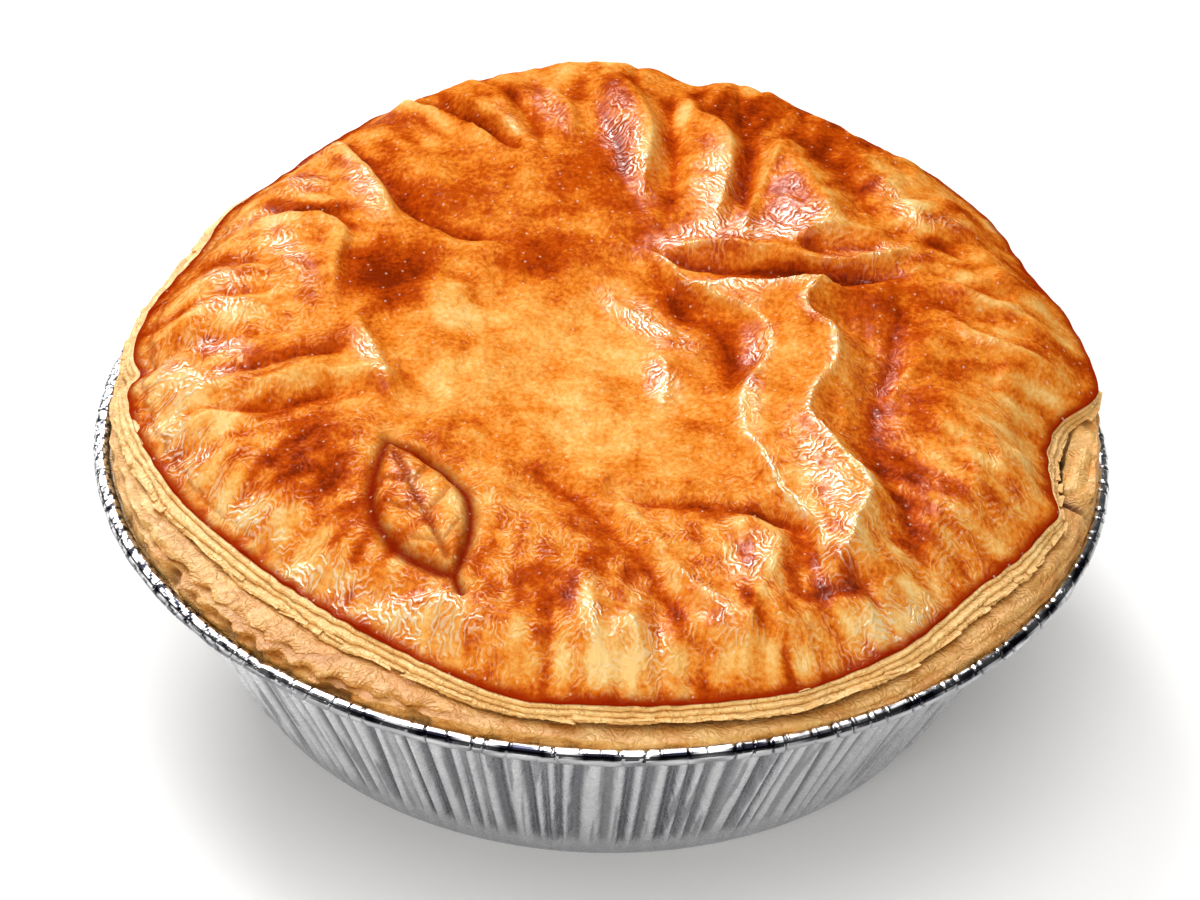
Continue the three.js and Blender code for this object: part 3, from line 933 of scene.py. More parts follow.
@dataclass
class LidForm:
    """The lid's shape: a tilted low dome with a rolled shoulder, folds and a pressed leaf. Sizes in mm."""

    rim_height: float = 28.0
    radius: float = 56.4
    rise: float = 8.0
    tilt: float = 4.4
    thickness: float = 1.4
    swelling: float = 0.14
    dome: float = 7.0
    dome_power: float = 3.0
    shoulder: float = 3.6
    shoulder_from: float = 0.86
    basin: tuple[float, float, float, float] = (-3.0, -6.0, 24.0, 2.4)
    edge_relief: float = 0.45
    edge_uneven: Pair = (0.12, 0.08)
    edge_wave: float = 0.2
    crease_share: float = 0.4
    pleats: int = 120
    seed: int = 23
    leaf: Leaf = field(default_factory=Leaf)
    terrace: Terrace = field(default_factory=Terrace)
    inside_depth: float = 4.2
    grain: Triple = (0.3, 0.14, 0.06)
    edge_line: tuple[Pair, ...] = (
        (-178.8, 55.6), (-174, 55.7), (-169, 55.2), (-161, 53.9), (-150, 52.3), (-140, 51.1),
        (-130, 50.9), (-119, 51.3), (-110, 52.7), (-103, 53.9), (-98, 54.7), (-90, 54.4), (-81, 54.3),
        (-71, 54.9), (-65, 55.4), (-58, 55.0), (-50, 54.7), (-41, 53.8), (-35, 53.6), (-27, 54.8),
        (-21, 55.5), (-17.8, 56.0), (-14.5, 54.4), (-10.4, 53.0), (-6, 52.4), (-1.8, 53.2), (1.2, 55.2),
        (3.4, 57.4), (5.5, 58.4), (8.5, 58.5), (14, 57.9), (22, 57.1), (29, 56.5), (38, 57.0),
        (46, 57.3), (54, 57.1), (61, 57.7), (69, 58.5), (76, 58.5), (79, 57.9), (84, 58.6), (94, 59.0),
        (104, 58.8), (113, 58.0), (122, 57.0), (131, 55.9), (139, 55.1), (146, 55.1), (153, 54.3),
        (160, 54.8), (168, 55.5), (173, 56.0), (177, 55.6), (179, 54.7),
    )
    sheet_line: tuple[Pair, ...] = (
        (-170, 1.9), (-150, 2.2), (-130, 2.5), (-112, 1.9), (-95, 1.5), (-75, 1.7), (-50, 1.9),
        (-27, 1.8), (-17, 0.9), (-8, 1.5), (-2, 1.1), (3, 0.2), (8, 0.15), (20, 0.3), (60, 0.3),
        (110, 0.4), (133, 1.1), (150, 1.7), (172, 1.5),
    )
    lobes: tuple[Lobe, ...] = (
        Lobe(92, 37, 2.2), Lobe(46, 18, 1.0), Lobe(-95, 25, 0.6), Lobe(-130, 22, 0.9), Lobe(180, 3.5, -0.5),
        Lobe(90, 8, 0.5), Lobe(79, 2.5, -0.7),
    )
    back_folds: tuple[Fold, ...] = (
        Fold(((3, 22), (3.8, 29), (4, 35), (1.5, 42), (-2, 49)), 1.8, 3.6, 1.5),
        Fold(((2, 22), (0, 33), (-2, 39), (-5, 48)), -1.0, 2.5, 1.5),
        Fold(((6, 17), (7, 26), (7, 34), (6.5, 41), (7, 49)), -1.1, 1.8, 1.4),
        Fold(((11.5, 16), (13.3, 25), (13.8, 31), (12.3, 36), (9, 40), (8, 48)), 1.9, 4.2, 1.4),
        Fold(((16, 18), (15.5, 26), (16, 32), (15, 38), (15.5, 47)), -1.2, 1.4, 2.0),
        Fold(((15.4, 17), (16.8, 24), (18.3, 29), (21, 36)), 1.0, 1.2, 0.9),
        Fold(((27.5, 18), (24, 26), (21.3, 32), (20, 39)), 2.0, 3.8, 2.8),
        Fold(((32, 20), (29, 28), (23, 39)), -0.8, 2.2, 2.5),
        Fold(((38, 20), (34, 29), (28, 38)), 0.8, 3.0, 3.0),
        Fold(((31, 21.5), (36, 21.5), (44, 19)), -0.8, 1.4, 1.6),
        Fold(((3, 15), (9, 13.4), (15, 12.9), (22, 12.4), (28, 12.6), (33, 13.2), (38, 14.5)),
             -1.9, 1.15, 2.2),
        Fold(((5, 13.8), (10, 15.1), (14, 15.5), (17, 14.9), (19, 15.2), (23, 13.7)), 1.0, 1.3, 0.8),
        Fold(((18.5, 14.5), (25, 13.6), (29, 14.4), (33, 15.9), (36, 20)), 1.3, 1.4, 0.9),
        Fold(((21.5, 15.8), (27, 17.2), (33, 18.6)), -0.8, 1.0, 1.0),
        Fold(((20, 15), (24, 18.6), (27.5, 19.8), (34, 19.6)), 0.9, 1.6, 0.9),
        Fold(((-12.5, 29.5), (-18, 36.5), (-22, 40), (-28, 45)), 1.1, 2.5, 1.0),
        Fold(((-10, 29.5), (-14, 34.3), (-18, 38.3), (-23.5, 46)), -1.4, 0.9, 1.6),
        Fold(((-9.5, 30), (-13, 36), (-16.5, 40), (-20, 46)), 0.9, 1.1, 1.6),
        Fold(((-5, 33), (-6, 40), (-9.5, 47)), 0.9, 1.6, 1.2),
        Fold(((-8.5, 32), (-11, 39.5), (-14.5, 46)), -0.8, 1.2, 1.4),
        Fold(((-19.5, 24), (-21, 27.5), (-22.5, 31)), 0.5, 1.2, 1.2),
    )
    left_folds: tuple[Fold, ...] = (
        Fold(((-8, 14.5), (-18, 17), (-22.5, 19.7), (-25.5, 23.5), (-28, 28), (-30.5, 33), (-35, 42)),
             -1.7, 1.3, 2.8),
        Fold(((-25.5, 16.5), (-27.5, 24), (-29, 28), (-31.5, 33), (-36, 41)), 1.6, 4.0, 1.2),
        Fold(((-29.5, 15), (-33.5, 20), (-37, 21.8), (-44, 25.5)), -1.1, 1.2, 1.8),
        Fold(((-32, 3), (-32.5, 10), (-31.8, 14), (-31.8, 17), (-33.5, 18.8), (-37, 20), (-44, 22.5)),
             1.4, 4.2, 1.1),
        Fold(((-38, 14), (-46, 15), (-54, 16.5)), -0.6, 1.5, 1.5),
        Fold(((-36, 7.5), (-37.5, 10.7), (-39.5, 14)), 0.6, 1.5, 1.2),
        Fold(((-40, 12), (-46, 10.5), (-54, 9.5)), 0.8, 1.5, 1.5),
        Fold(((-38, 7), (-46, 7.2), (-54, 6)), -0.6, 1.2, 1.2),
        Fold(((-39, 3), (-46, 4.8), (-52, 4), (-57, 5)), 0.9, 1.4, 1.5),
        Fold(((-43, 0.7), (-50, 0.5), (-56, 2)), -0.7, 1.3, 1.3),
        Fold(((-45.5, -8.5), (-51, -5), (-57, -1.5)), 0.8, 2.2, 2.0),
        Fold(((-26, -3.5), (-35, -5), (-42, -6), (-48, -4), (-55, -0.5)), -0.9, 1.3, 1.2),
        Fold(((-24.3, -12), (-25.3, -9.5), (-27.3, -4.5), (-30.5, 3)), 1.2, 4.0, 1.2),
        Fold(((-22, -9), (-31, -8.5), (-38, -9.2), (-49, -9.5)), 0.9, 1.5, 2.2),
        Fold(((-27, -9.5), (-37, -12.3), (-45, -11.8), (-56, -8.5)), -1.1, 1.5, 1.2),
        Fold(((-39, -15.5), (-48, -13.3), (-55, -11)), 0.9, 1.6, 1.2),
        Fold(((-40, -17.5), (-48, -16.5), (-53, -15.5)), -0.5, 1.2, 1.2),
        Fold(((-40, -22.5), (-44, -21.5), (-50, -19)), 0.7, 2.0, 2.0),
        Fold(((-36, -25), (-41, -25), (-47, -24)), -0.5, 1.4, 1.4),
        Fold(((-35, -30), (-39, -28.7), (-45, -26)), 0.7, 2.0, 2.0),
        Fold(((-29, -34.3), (-33, -34.2), (-38, -34.5)), -0.6, 0.9, 0.9),
        Fold(((-27, -38), (-32, -36.5), (-38, -33)), 0.7, 2.0, 2.4),
        Fold(((-14, -45), (-21, -44.3), (-28.5, -41)), 0.9, 2.2, 2.4),
        Fold(((-13, -42.8), (-20, -41.8), (-25, -41.4), (-28, -44)), -0.7, 1.0, 1.2),
        Fold(((-28, -3), (-21, -10), (-14, -16), (-5, -23)), -0.6, 2.2, 2.2),
    )
    right_folds: tuple[Fold, ...] = (
        Fold(((37.5, -37), (35, -26), (32, -18), (31.5, -10), (33, -2), (34, 6), (37, 13)), -1.3, 2.8, 3.0),
        Fold(((32.5, -10), (35, -4), (38, 0)), 0.7, 1.0, 1.2),
        Fold(((39, -26), (39.5, -10), (39, -3), (37, 7)), 0.6, 3.0, 5.0),
        Fold(((39, -34), (36, -27), (34.5, -21)), -0.5, 1.4, 1.4),
        Fold(((37.5, 8), (43, 4.6), (48, 3.6), (57, 3.5)), 0.9, 1.3, 1.6),
        Fold(((36, 10.5), (44, 8.5), (55, 6.5)), -0.7, 1.4, 1.3),
        Fold(((38, 14), (43, 11.3), (50, 10.5), (57, 9)), 0.9, 1.6, 1.3),
        Fold(((35, 17), (43, 13.8), (53, 13.3)), -0.6, 1.4, 1.4),
        Fold(((34, 21), (44, 17.5), (54, 14.5)), 0.6, 2.0, 2.0),
        Fold(((36, -0.5), (46, -2), (55, 0.5)), -0.6, 1.6, 1.6),
        Fold(((30, -14), (40, -20), (49, -24)), -0.7, 2.0, 2.0),
        Fold(((40, -10), (46, -11.5), (53, -13)), 0.5, 2.4, 2.4),
    )
    front_folds: tuple[Fold, ...] = (
        Fold(((0, 6.5), (4, 3.2), (9, 0)), 0.55, 1.3, 1.5),
        Fold(((6.5, -11), (7.2, -6), (5.5, -2)), 0.5, 1.5, 1.2),
        Fold(((4, 14), (8, 6), (12.5, 2), (14.5, -3), (13.5, -11)), -0.9, 2.2, 2.4),
        Fold(((26, -39), (24.5, -33), (23, -29.5), (17, -28)), -1.2, 1.8, 1.2),
        Fold(((18.6, -41), (20.8, -35), (19.8, -31.5), (14, -29.5)), 1.1, 3.2, 1.2),
        Fold(((16.8, -52), (17.8, -45.5), (18.3, -43), (19.5, -39)), 1.0, 1.4, 1.3),
        Fold(((6.5, -35.5), (11, -40.5), (15, -44), (19, -45.5)), 0.9, 1.2, 1.6),
        Fold(((15, -51), (9, -43), (5.5, -37.5), (2, -33), (-4, -26), (-13, -19)), -1.25, 3.1, 2.6),
        Fold(((8, -38), (6, -32.5), (1, -27)), 0.8, 1.4, 1.8),
        Fold(((-5, -26), (6, -27.5), (14, -28.5), (20, -29), (26, -32)), -0.8, 1.2, 1.2),
        Fold(((20, -38.5), (26, -39.5), (34, -34)), -0.9, 1.6, 1.8),
        Fold(((26, -43), (34, -39.5), (41, -34)), 0.7, 2.4, 2.8),
        Fold(((1.5, -55), (0, -47), (-1.5, -42), (-3, -36)), 1.1, 2.0, 2.0),
        Fold(((8.5, -55), (7.5, -48), (7.5, -43)), -0.6, 1.3, 1.3),
        Fold(((5, -55), (4.5, -49), (4.5, -44)), 0.5, 1.2, 1.2),
        Fold(((13, -54), (12.5, -49), (12.5, -45)), -0.5, 1.4, 1.4),
        Fold(((-6, -55), (-5, -49), (-5, -43)), -0.8, 1.3, 1.5),
        Fold(((-10, -54), (-9, -49), (-9, -44)), 0.6, 1.3, 1.3),
        Fold(((-14, -53), (-13, -49), (-12.5, -45)), -0.5, 1.3, 1.3),
        Fold(((24, -51), (23, -47), (22, -43)), 0.5, 1.6, 1.6),
    )

    def __post_init__(self) -> None:
        """Draws the seeded unevenness and the small pleats of the edge."""
        self.wander = RoundGrain(self.seed, (7, 24), (40, 80), 26)
        self.ragged = RoundGrain(self.seed + 1, (40, 130), (40, 80), 40)
        self.swells = FlatGrain(self.seed + 2, 12.0)
        self.bubbles = FlatGrain(self.seed + 3, 4.2, 40)
        self.wrinkles = FlatGrain(self.seed + 4, 1.7, 60)
        rng = np.random.default_rng(self.seed + 5)
        self.pleat_list = []
        for angle in rng.uniform(0, TURN, self.pleats):
            middle = (0.93, rng.normal(0, 0.02))
            inner = (rng.uniform(0.74, 0.88), rng.normal(0, 0.05))
            places = []
            for share, turn in ((1.03, 0.0), middle, inner):
                reach = share * self.radius
                places.append((reach * math.cos(angle + turn), reach * math.sin(angle + turn)))
            rise = rng.choice((-1, 1)) * rng.uniform(0.2, 0.6)
            left, right = rng.uniform(0.6, 1.4), rng.uniform(0.6, 1.4)
            self.pleat_list.append(Fold(tuple(places), rise, left, right))

    def edge_radius(self, angle: np.ndarray) -> np.ndarray:
        """How far out the edge lies.

        Args:
            angle: where round the pie.

        Returns:
            Radii in mm.
        """
        slow, fine = self.edge_uneven
        uneven = slow * self.wander(angle, 0.0) + fine * self.ragged(angle, 0.0)
        return round_curve(self.edge_line, angle) + uneven

    def sheet_reach(self, angle: np.ndarray) -> np.ndarray:
        """How far the sheets stand out from under the edge, in mm."""
        return round_curve(self.sheet_line, angle)

    def edge_rise(self, angle: np.ndarray) -> np.ndarray:
        """How far the edge stands over the rim, in mm."""
        lift = sum(lobe.share(angle) for lobe in self.lobes)
        return self.rise + self.tilt * np.sin(angle) + lift + self.edge_wave * self.wander(angle, 9.0)

    def edge_height(self, angle: np.ndarray) -> np.ndarray:
        """The edge's height, in mm."""
        return self.rim_height + self.edge_rise(angle)

    def edge_thickness(self, angle: np.ndarray) -> np.ndarray:
        """How thick the layers are at the edge, in mm."""
        return self.thickness + self.swelling * (self.edge_rise(angle) - self.rise + self.tilt)

    def base(self, share: np.ndarray, angle: np.ndarray) -> np.ndarray:
        """The lid's height before its folds.

        Args:
            share: how far out, 0 to 1.
            angle: where round the pie.

        Returns:
            Heights in mm.
        """
        radius = share * self.edge_radius(angle)
        inner = self.rim_height + self.rise + self.tilt * share * np.sin(angle)
        plane = inner + (self.edge_height(angle) - inner) * smooth(0, 1, share)
        bx, by, reach, depth = self.basin
        away = np.hypot(radius * np.cos(angle) - bx, radius * np.sin(angle) - by)
        swell = self.shoulder * (1 - smooth(self.shoulder_from, 1, share))
        swell = swell + self.dome * (1 - share ** self.dome_power)
        return plane + swell - depth * bell(away / reach)

    def folds(self) -> list[Fold]:
        """The large folds and the pleats."""
        return [*self.back_folds, *self.left_folds, *self.right_folds, *self.front_folds, *self.pleat_list]

    def creased(self, x: np.ndarray, y: np.ndarray) -> np.ndarray:
        """How near each place is to the line of a fold.

        Args:
            x: places across, in mm.
            y: places to the back, in mm.

        Returns:
            Heights of narrowed folds in mm: above 0 on a ridge, below 0 in a valley.
        """
        thin = self.crease_share
        lines = [replace(fold, left=thin * fold.left, right=thin * fold.right) for fold in self.folds()]
        return sum(line.height(x, y) for line in lines)

    def top(self, share: np.ndarray, angle: np.ndarray) -> tuple[np.ndarray, dict[str, np.ndarray]]:
        """The lid's upper face.

        Args:
            share: how far out each place is, 0 to 1.
            angle: where round the pie.

        Returns:
            Places in mm, and the folds' heights, the leaf's grooves and the crests there.
        """
        radius = share * self.edge_radius(angle)
        x, y = radius * np.cos(angle), radius * np.sin(angle)
        band, crest = self.terrace.shape(x, y)
        folded = sum(fold.height(x, y) for fold in self.folds()) + band
        pressed, sunk = self.leaf.press(x, y)
        fields = (self.swells, self.bubbles, self.wrinkles)
        uneven = sum(amount * grain(x, y) for amount, grain in zip(self.grain, fields))
        still = 1 - smooth(self.shoulder_from, 1, share)
        fade = self.edge_relief + (1 - self.edge_relief) * still
        height = self.base(share, angle) + fade * (folded + uneven) + pressed
        return np.stack((x, y, height), -1), {"folded": folded, "sunk": sunk, "crest": crest}

    def under(self, share: np.ndarray, angle: np.ndarray) -> np.ndarray:
        """The lid's lower face.

        Args:
            share: how far out each place is, 0 to 1.
            angle: where round the pie.

        Returns:
            Places in mm.
        """
        edge = self.edge_thickness(angle)
        deep = edge + (self.inside_depth - edge) * (1 - smooth(self.shoulder_from, 1, share))
        return polar(share * self.edge_radius(angle), angle, self.base(share, angle) - deep)


@dataclass
class PastryLid:
    """The glazed lid with its folds and its browned edge. Sizes in mm."""

    form: LidForm
    rings: int = 165
    lip: float = 0.5
    # Places that baked darker, from back to front
    browned: tuple[Patch, ...] = (
        Patch(6, 53, 3, 0.22), Patch(-16, 53, 3, 0.16), Patch(1, 46, 2.5, 0.25, 2.2, 100),
        Patch(24, 46, 5, 0.28, 2.0, -35), Patch(-11, 44, 4.0, 0.14, 2.5),
        Patch(-0.5, 43, 1.6, 0.35, 3.6, 110), Patch(14, 42, 4.5, 0.34, 1.8, -15),
        Patch(-19, 39, 1.7, 0.6, 3.6, -50), Patch(2, 39, 2, 0.2, 2.2, 100), Patch(29, 38, 5, 0.1),
        Patch(-27, 38, 5, 0.1), Patch(-9, 37, 2.6, 0.14), Patch(11.5, 36, 2.2, 0.32, 2.2, 95),
        Patch(26, 34, 3.5, 0.26, 2.2, -52), Patch(22, 34, 3.5, 0.24, 1.5, -50),
        Patch(31, 33, 2.4, 0.14, 2.0, 90), Patch(15.5, 30, 1.8, 0.26, 3.5, 88),
        Patch(-3, 29, 4.5, 0.22, 1.5, 90), Patch(23, 29, 3, 0.16, 1.6, -40),
        Patch(-25.5, 27, 2.4, 0.16, 4.0, -62), Patch(-16, 26, 5.5, 0.14, 1.2, 90),
        Patch(46, 26, 4, 0.16, 2.5, -55), Patch(-2, 25, 7, 0.12), Patch(15, 24, 3, 0.12, 2.5, 88),
        Patch(-35.5, 21.3, 1.5, 0.32, 4.0, -30), Patch(21, 21, 6, 0.24, 1.3, 0),
        Patch(40, 20.5, 1.4, 0.26, 3.5, -8), Patch(3, 20, 3.5, 0.2, 1.3), Patch(-35, 20, 2.2, 0.26),
        Patch(-45, 18, 4, 0.1, 1.6), Patch(4, 16, 2.6, 0.12), Patch(4.5, 16, 2.6, 0.1),
        Patch(13, 14.6, 1.5, 0.1, 4.0, 8), Patch(28, 14, 1.5, 0.08, 3.4, 5),
        Patch(-8, 13, 3.8, 0.37, 1.7), Patch(20, 11.6, 1.3, 0.2, 6.0),
        Patch(-26, 9, 5.2, 0.54, 1.25, -50), Patch(20, 9, 3, 0.16, 2.0), Patch(34, 8, 4.0, 0.26, 1.7),
        Patch(-8, 8, 4, 0.06, 1.8), Patch(9, 6, 2.8, 0.34, 2.3, -48), Patch(-36, 3, 6, 0.06, 1.3, 20),
        Patch(38, 2.5, 3, 0.2), Patch(25, 1.5, 2.6, 0.15), Patch(22, -1, 6, 0.1, 2.0, 95),
        Patch(39, -1.5, 1.8, 0.22, 2.2), Patch(14.8, -3, 2.4, 0.3, 2.8, 95),
        Patch(31, -3, 4.0, 0.22, 2.8, 92), Patch(-39, -5, 1.6, 0.26, 4.0, 4),
        Patch(-27, -5, 4, 0.12, 1.8, 110), Patch(11, -7, 3, 0.1, 1.6, -60),
        Patch(38, -8, 3.5, 0.18, 1.5, 60), Patch(39, -11, 3, 0.16, 2.4, 92),
        Patch(-34, -12, 1.6, 0.14, 4.0, 8), Patch(23, -12, 3.0, 0.12, 2.5, 90), Patch(12, -16, 4, 0.05),
        Patch(-9, -17, 4, 0.06), Patch(33, -18, 3.2, 0.22, 2.4, -25), Patch(-41, -20, 2.2, 0.08),
        Patch(-33, -21, 4.6, 0.34, 1.9, -62), Patch(39, -21, 3.4, 0.15),
        Patch(-7.5, -24.5, 1.7, 0.05, 4.0, -32), Patch(-36, -25, 4, 0.22),
        Patch(35.5, -27, 2.0, 0.2, 2.2, -65), Patch(13, -28.7, 1.5, 0.22, 6.0, -3),
        Patch(18, -30, 2.4, 0.14), Patch(28, -30, 1.5, 0.16), Patch(-9.5, -31, 2.4, 0.16),
        Patch(-3, -32.5, 3, 0.1), Patch(23.5, -33, 2.0, 0.28, 2.0, 72),
        Patch(-28, -33, 2.6, 0.2, 1.5, -50), Patch(3, -36.5, 4.0, 0.1, 1.8, -50),
        Patch(27, -38.5, 2.0, 0.36, 2.2, 12), Patch(-14, -39, 1.7, 0.2), Patch(-1, -39.5, 2.8, 0.2),
        Patch(-9.5, -41, 3.5, 0.1), Patch(-6, -42.5, 3.4, 0.3, 1.3, 70), Patch(20, -43, 2.2, 0.16),
    )
    # Places that are paler, from back to front: paler bake, and on the left and front ring and by the
    # crevice also painted highlight and painted light in shade
    paler: tuple[Patch, ...] = (
        Patch(-2, 54, 4, -0.32, 1.5), Patch(13, 51, 3, -0.3, 1.5, -20), Patch(-5, 47, 4, -0.06, 1.6),
        Patch(36, 38, 2, -0.16), Patch(45, 34, 2.4, -0.2, 2.0, -60),
        Patch(-39, 33, 2.2, -0.16, 1.8, 100), Patch(34, 28, 4.5, -0.16),
        Patch(-43, 26, 3.4, -0.14, 1.8, 110), Patch(16.5, 25, 2.0, -0.24, 2.0, 90),
        Patch(-47, 25, 2.2, -0.1), Patch(-43, 19, 4, -0.16, 1.4), Patch(16, 18.5, 2.0, -0.24, 2.4),
        Patch(26, 18.5, 2.2, -0.16), Patch(54.5, 18, 2.4, -0.14, 2.4, -70),
        Patch(46, 13, 3.4, -0.08, 1.5), Patch(-4.5, 13, 2.6, -0.1), Patch(9.5, 9, 2.4, -0.14, 2.4, -60),
        Patch(-44, 5, 5, -0.16), Patch(-18.5, 4, 3.0, -0.3, 1.7, -62, 3.0),
        Patch(-48, 2, 2.2, -0.14, 1.8), Patch(-37, 1, 4, -0.07), Patch(34, -1, 5, -0.06, 2.0, 90),
        Patch(31, -3, 3.0, -0.14, 3.4, 90), Patch(-52, -4, 4, -0.16), Patch(48, -4, 4.4, -0.16),
        Patch(-4, -5, 15, -0.18), Patch(19, -6, 3.0, -0.1, 1.6), Patch(-50, -6, 2.6, -0.1, 1.6, 110),
        Patch(-22, -8, 3.5, -0.14, 2.2, -45), Patch(-47, -9, 4, -0.22, 1.5, 110),
        Patch(-51, -11, 2.6, -0.24, 2.6, 115), Patch(44, -14, 6, -0.12), Patch(-45, -14, 3, -0.1),
        Patch(3, -20, 8, -0.1, 1.7, 5), Patch(-44, -25, 2.6, -0.24, 3.4, 128),
        Patch(-39, -28, 3.5, -0.12), Patch(-13.5, -31, 5, -0.14), Patch(-16, -31, 1.8, -0.18, 1.6, 90),
        Patch(38, -31, 2.4, -0.1, 2.4, 55), Patch(24, -32, 1.6, -0.16, 1.8, 70), Patch(4, -33, 3, -0.1),
        Patch(-33, -36, 3, -0.12, 1.6, -40), Patch(-33, -38, 2.6, -0.2, 3.4, 145),
        Patch(36, -38.5, 2.6, -0.22, 3.0, 45), Patch(34, -40, 3.2, -0.14, 2.0, 35),
        Patch(7, -40, 3, -0.12, 1.6, 120), Patch(-19, -45, 4, -0.14, 1.6), Patch(24, -47, 2.2, -0.1),
        Patch(15, -48, 2.4, -0.12, 4.0, 8), Patch(0, -49.5, 3, -0.12, 4.0),
        Patch(0, -51.5, 1.8, -0.22, 4.0), Patch(2, -52.5, 1.6, -0.12, 2.0),
    )
    # Places where the glaze lies thick, from back to front; their strokes also get painted highlight flecks
    shine: tuple[Patch, ...] = (
        Patch(-28, 44, 2.0, 0.2, 2.0, 110), Patch(-8, 40.5, 1.3, 0.35, 4.0, 110),
        Patch(-36, 38, 1.8, 0.3, 2.4, 115), Patch(-12.5, 36.5, 1.0, 0.4, 3.5, 125),
        Patch(1.2, 32, 1.9, 1.0, 4.2, 105), Patch(-37.5, 28.5, 1.6, 0.65, 1.8, 135),
        Patch(34, 27, 1.6, 0.5, 2.4, -60), Patch(-29.6, 25.5, 1.7, 0.75, 3.0, 110),
        Patch(12.3, 25, 2.2, 1.0, 2.6, 88), Patch(39, 25, 1.6, 0.5, 2.0, 20),
        Patch(20.5, 24, 2.0, 0.5, 2.1, 95), Patch(-43, 23, 1.2, 0.5, 3.4, -15),
        Patch(22.5, 20, 2.4, 0.45, 2.2, 0), Patch(16, 18, 1.7, 1.0, 3.4, 5),
        Patch(11.5, 17.2, 1.5, 1.0, 4.2, 15), Patch(31, 16.5, 1.5, 1.0, 3.4, 15),
        Patch(12, 14.8, 1.3, 0.3, 4.5, 8), Patch(29, 14, 1.3, 0.3, 4.0, 5),
        Patch(-38, 13.5, 1.3, 0.55, 4.4, 112), Patch(45, 11.5, 1.2, 0.2, 4.0, -10),
        Patch(-46, 10.5, 1.2, 0.5, 2.4, -40), Patch(13.5, 8.5, 1.6, 0.5, 2.4, -12),
        Patch(-45.5, 5, 1.3, 0.7, 2.2, -20), Patch(46, 4, 1.2, 0.25, 4.0, 0),
        Patch(5, 2.5, 1.7, 1.0, 3.4, 138), Patch(-46, -1, 1.4, 0.9, 2.6, -30),
        Patch(-51.5, -3.5, 2.0, 1.0, 2.8, 118), Patch(17.3, -5, 1.0, 0.8, 8.0, 92),
        Patch(31.5, -5, 3.2, 0.22, 2.6, 92), Patch(-27.4, -6, 1.2, 0.9, 2.8, 115),
        Patch(6.5, -7, 1.6, 0.9, 2.2, 105), Patch(-47.5, -8, 1.6, 1.0, 2.4, 25),
        Patch(47, -12, 4.0, 0.15, 2.0, 100), Patch(-48.5, -16, 1.8, 1.0, 4.0, 118),
        Patch(26, -23, 2.2, 0.65, 3.2, 115), Patch(40, -24, 3.0, 0.12, 2.0, 110),
        Patch(-22, -27, 1.4, 0.6, 3.5, 112), Patch(-39.5, -28.5, 1.6, 1.0, 2.6, 132),
        Patch(28.2, -34, 2.0, 0.4, 2.4, 72), Patch(17.5, -36, 2.2, 0.6, 1.4, 70),
        Patch(-31, -38, 1.7, 1.0, 3.2, 145), Patch(35, -40, 2.6, 0.7, 2.6, 40),
        Patch(13.5, -43.5, 1.7, 0.5, 3.0, 135), Patch(-21, -44, 2.6, 0.9, 2.8, 158),
        Patch(6, -46.5, 1.9, 0.6, 2.2, 112), Patch(0.5, -47, 2.2, 0.5, 2.2, 112),
    )
    seam: Fold = Fold(((-50.5, 13.5), (-54.3, 11.2), (-56, 7.5), (-55.4, 3.2)), 1.0, 0.5, 0.5)
    streaks: RoundGrain = field(default_factory=lambda: RoundGrain(71, (24, 100), (9, 24), 60))
    bake_level: float = 0.46
    grain_share: float = 0.05
    ridge_light_valley_shade: float = 0.08
    crease_light_and_shade: float = 0.19
    edge_brown: float = 0.16
    edge_band: float = 1.6
    edge_width: float = 0.8
    streak_share: float = 0.14
    mottle_share: float = 0.07
    score: Triple = (0.6, 1.9, 0.32)
    crest_gloss: float = 0.7
    crest_painted_highlight: float = 0.28
    gloss_brown: float = 0.12
    film: Pair = (0.02, 0.07)

    def browning(
        self, points: np.ndarray, share: np.ndarray, facts: dict[str, np.ndarray]
    ) -> dict[str, np.ndarray]:
        """How brown and how glossy the lid is, and where highlight and shade are painted into its colour.

        Args:
            points: places in mm.
            share: how far out each is.
            facts: what the form says of those places.

        Returns:
            The bake, edge, groove, gloss and film marks, each 0 to 1.
        """
        form, x, y = self.form, points[:, 0], points[:, 1]
        inset = (1 - share) * form.radius
        rough = 0.3 * form.bubbles(x * 1.5, y * 1.5)
        ring = np.maximum(smooth(0, -30, y), smooth(-25, -45, x)) * smooth(0.4, 0.65, share)
        bake = self.bake_level + sum(patch.share(x, y) for patch in (*self.browned, *self.paler))
        bake = bake + self.grain_share * (form.swells(x + 40, y) + form.bubbles(x, y + 40))
        # Paler on ridges and darker in valleys: browning, partly painted highlight on the ridges and painted
        # shade in the creases
        bake = bake - self.ridge_light_valley_shade * np.clip(facts["folded"], -1.6, 1.6)
        bake = bake - self.crease_light_and_shade * np.clip(form.creased(x, y), -1.5, 1.0)
        bake = bake + self.edge_brown * bell(inset / (self.edge_band + rough))
        bake = bake + self.streak_share * self.streaks(np.arctan2(y, x), inset) * smooth(0.5, 0.8, share)
        bake = bake + self.mottle_share * ring * form.bubbles(1.3 * x - 70, 1.3 * y)
        amount, place, width = self.score
        scored = amount * bell((inset - place - rough) / width) * smooth(-30, -50, x)
        seam = np.clip(1.6 * self.seam.height(x, y), 0, 1)
        edge = np.maximum.reduce((bell(inset / (self.edge_width + 0.2 * rough)), scored, seam))
        gloss = sum(patch.share(x, y) for patch in self.shine) + self.crest_gloss * facts["crest"]
        gloss = np.clip(gloss, 0, 1)
        # Thin crest lines made paler: painted highlight along the brinks
        bake = bake + self.gloss_brown * gloss - self.crest_painted_highlight * facts["crest"]
        # The film lets the strokes shine, and with the gloss it sets the painted highlight flecks
        film = (self.film[0] + self.film[1] * ring) * (1 - 0.8 * smooth(0.5, 0.75, bake))
        matte = (1 - edge) * (1 - 0.9 * facts["sunk"])
        return {"bake": np.clip(bake, 0, 1), "edge": edge, "groove": facts["sunk"] ** 1.3,
                "gloss": gloss * matte, "film": film * matte}

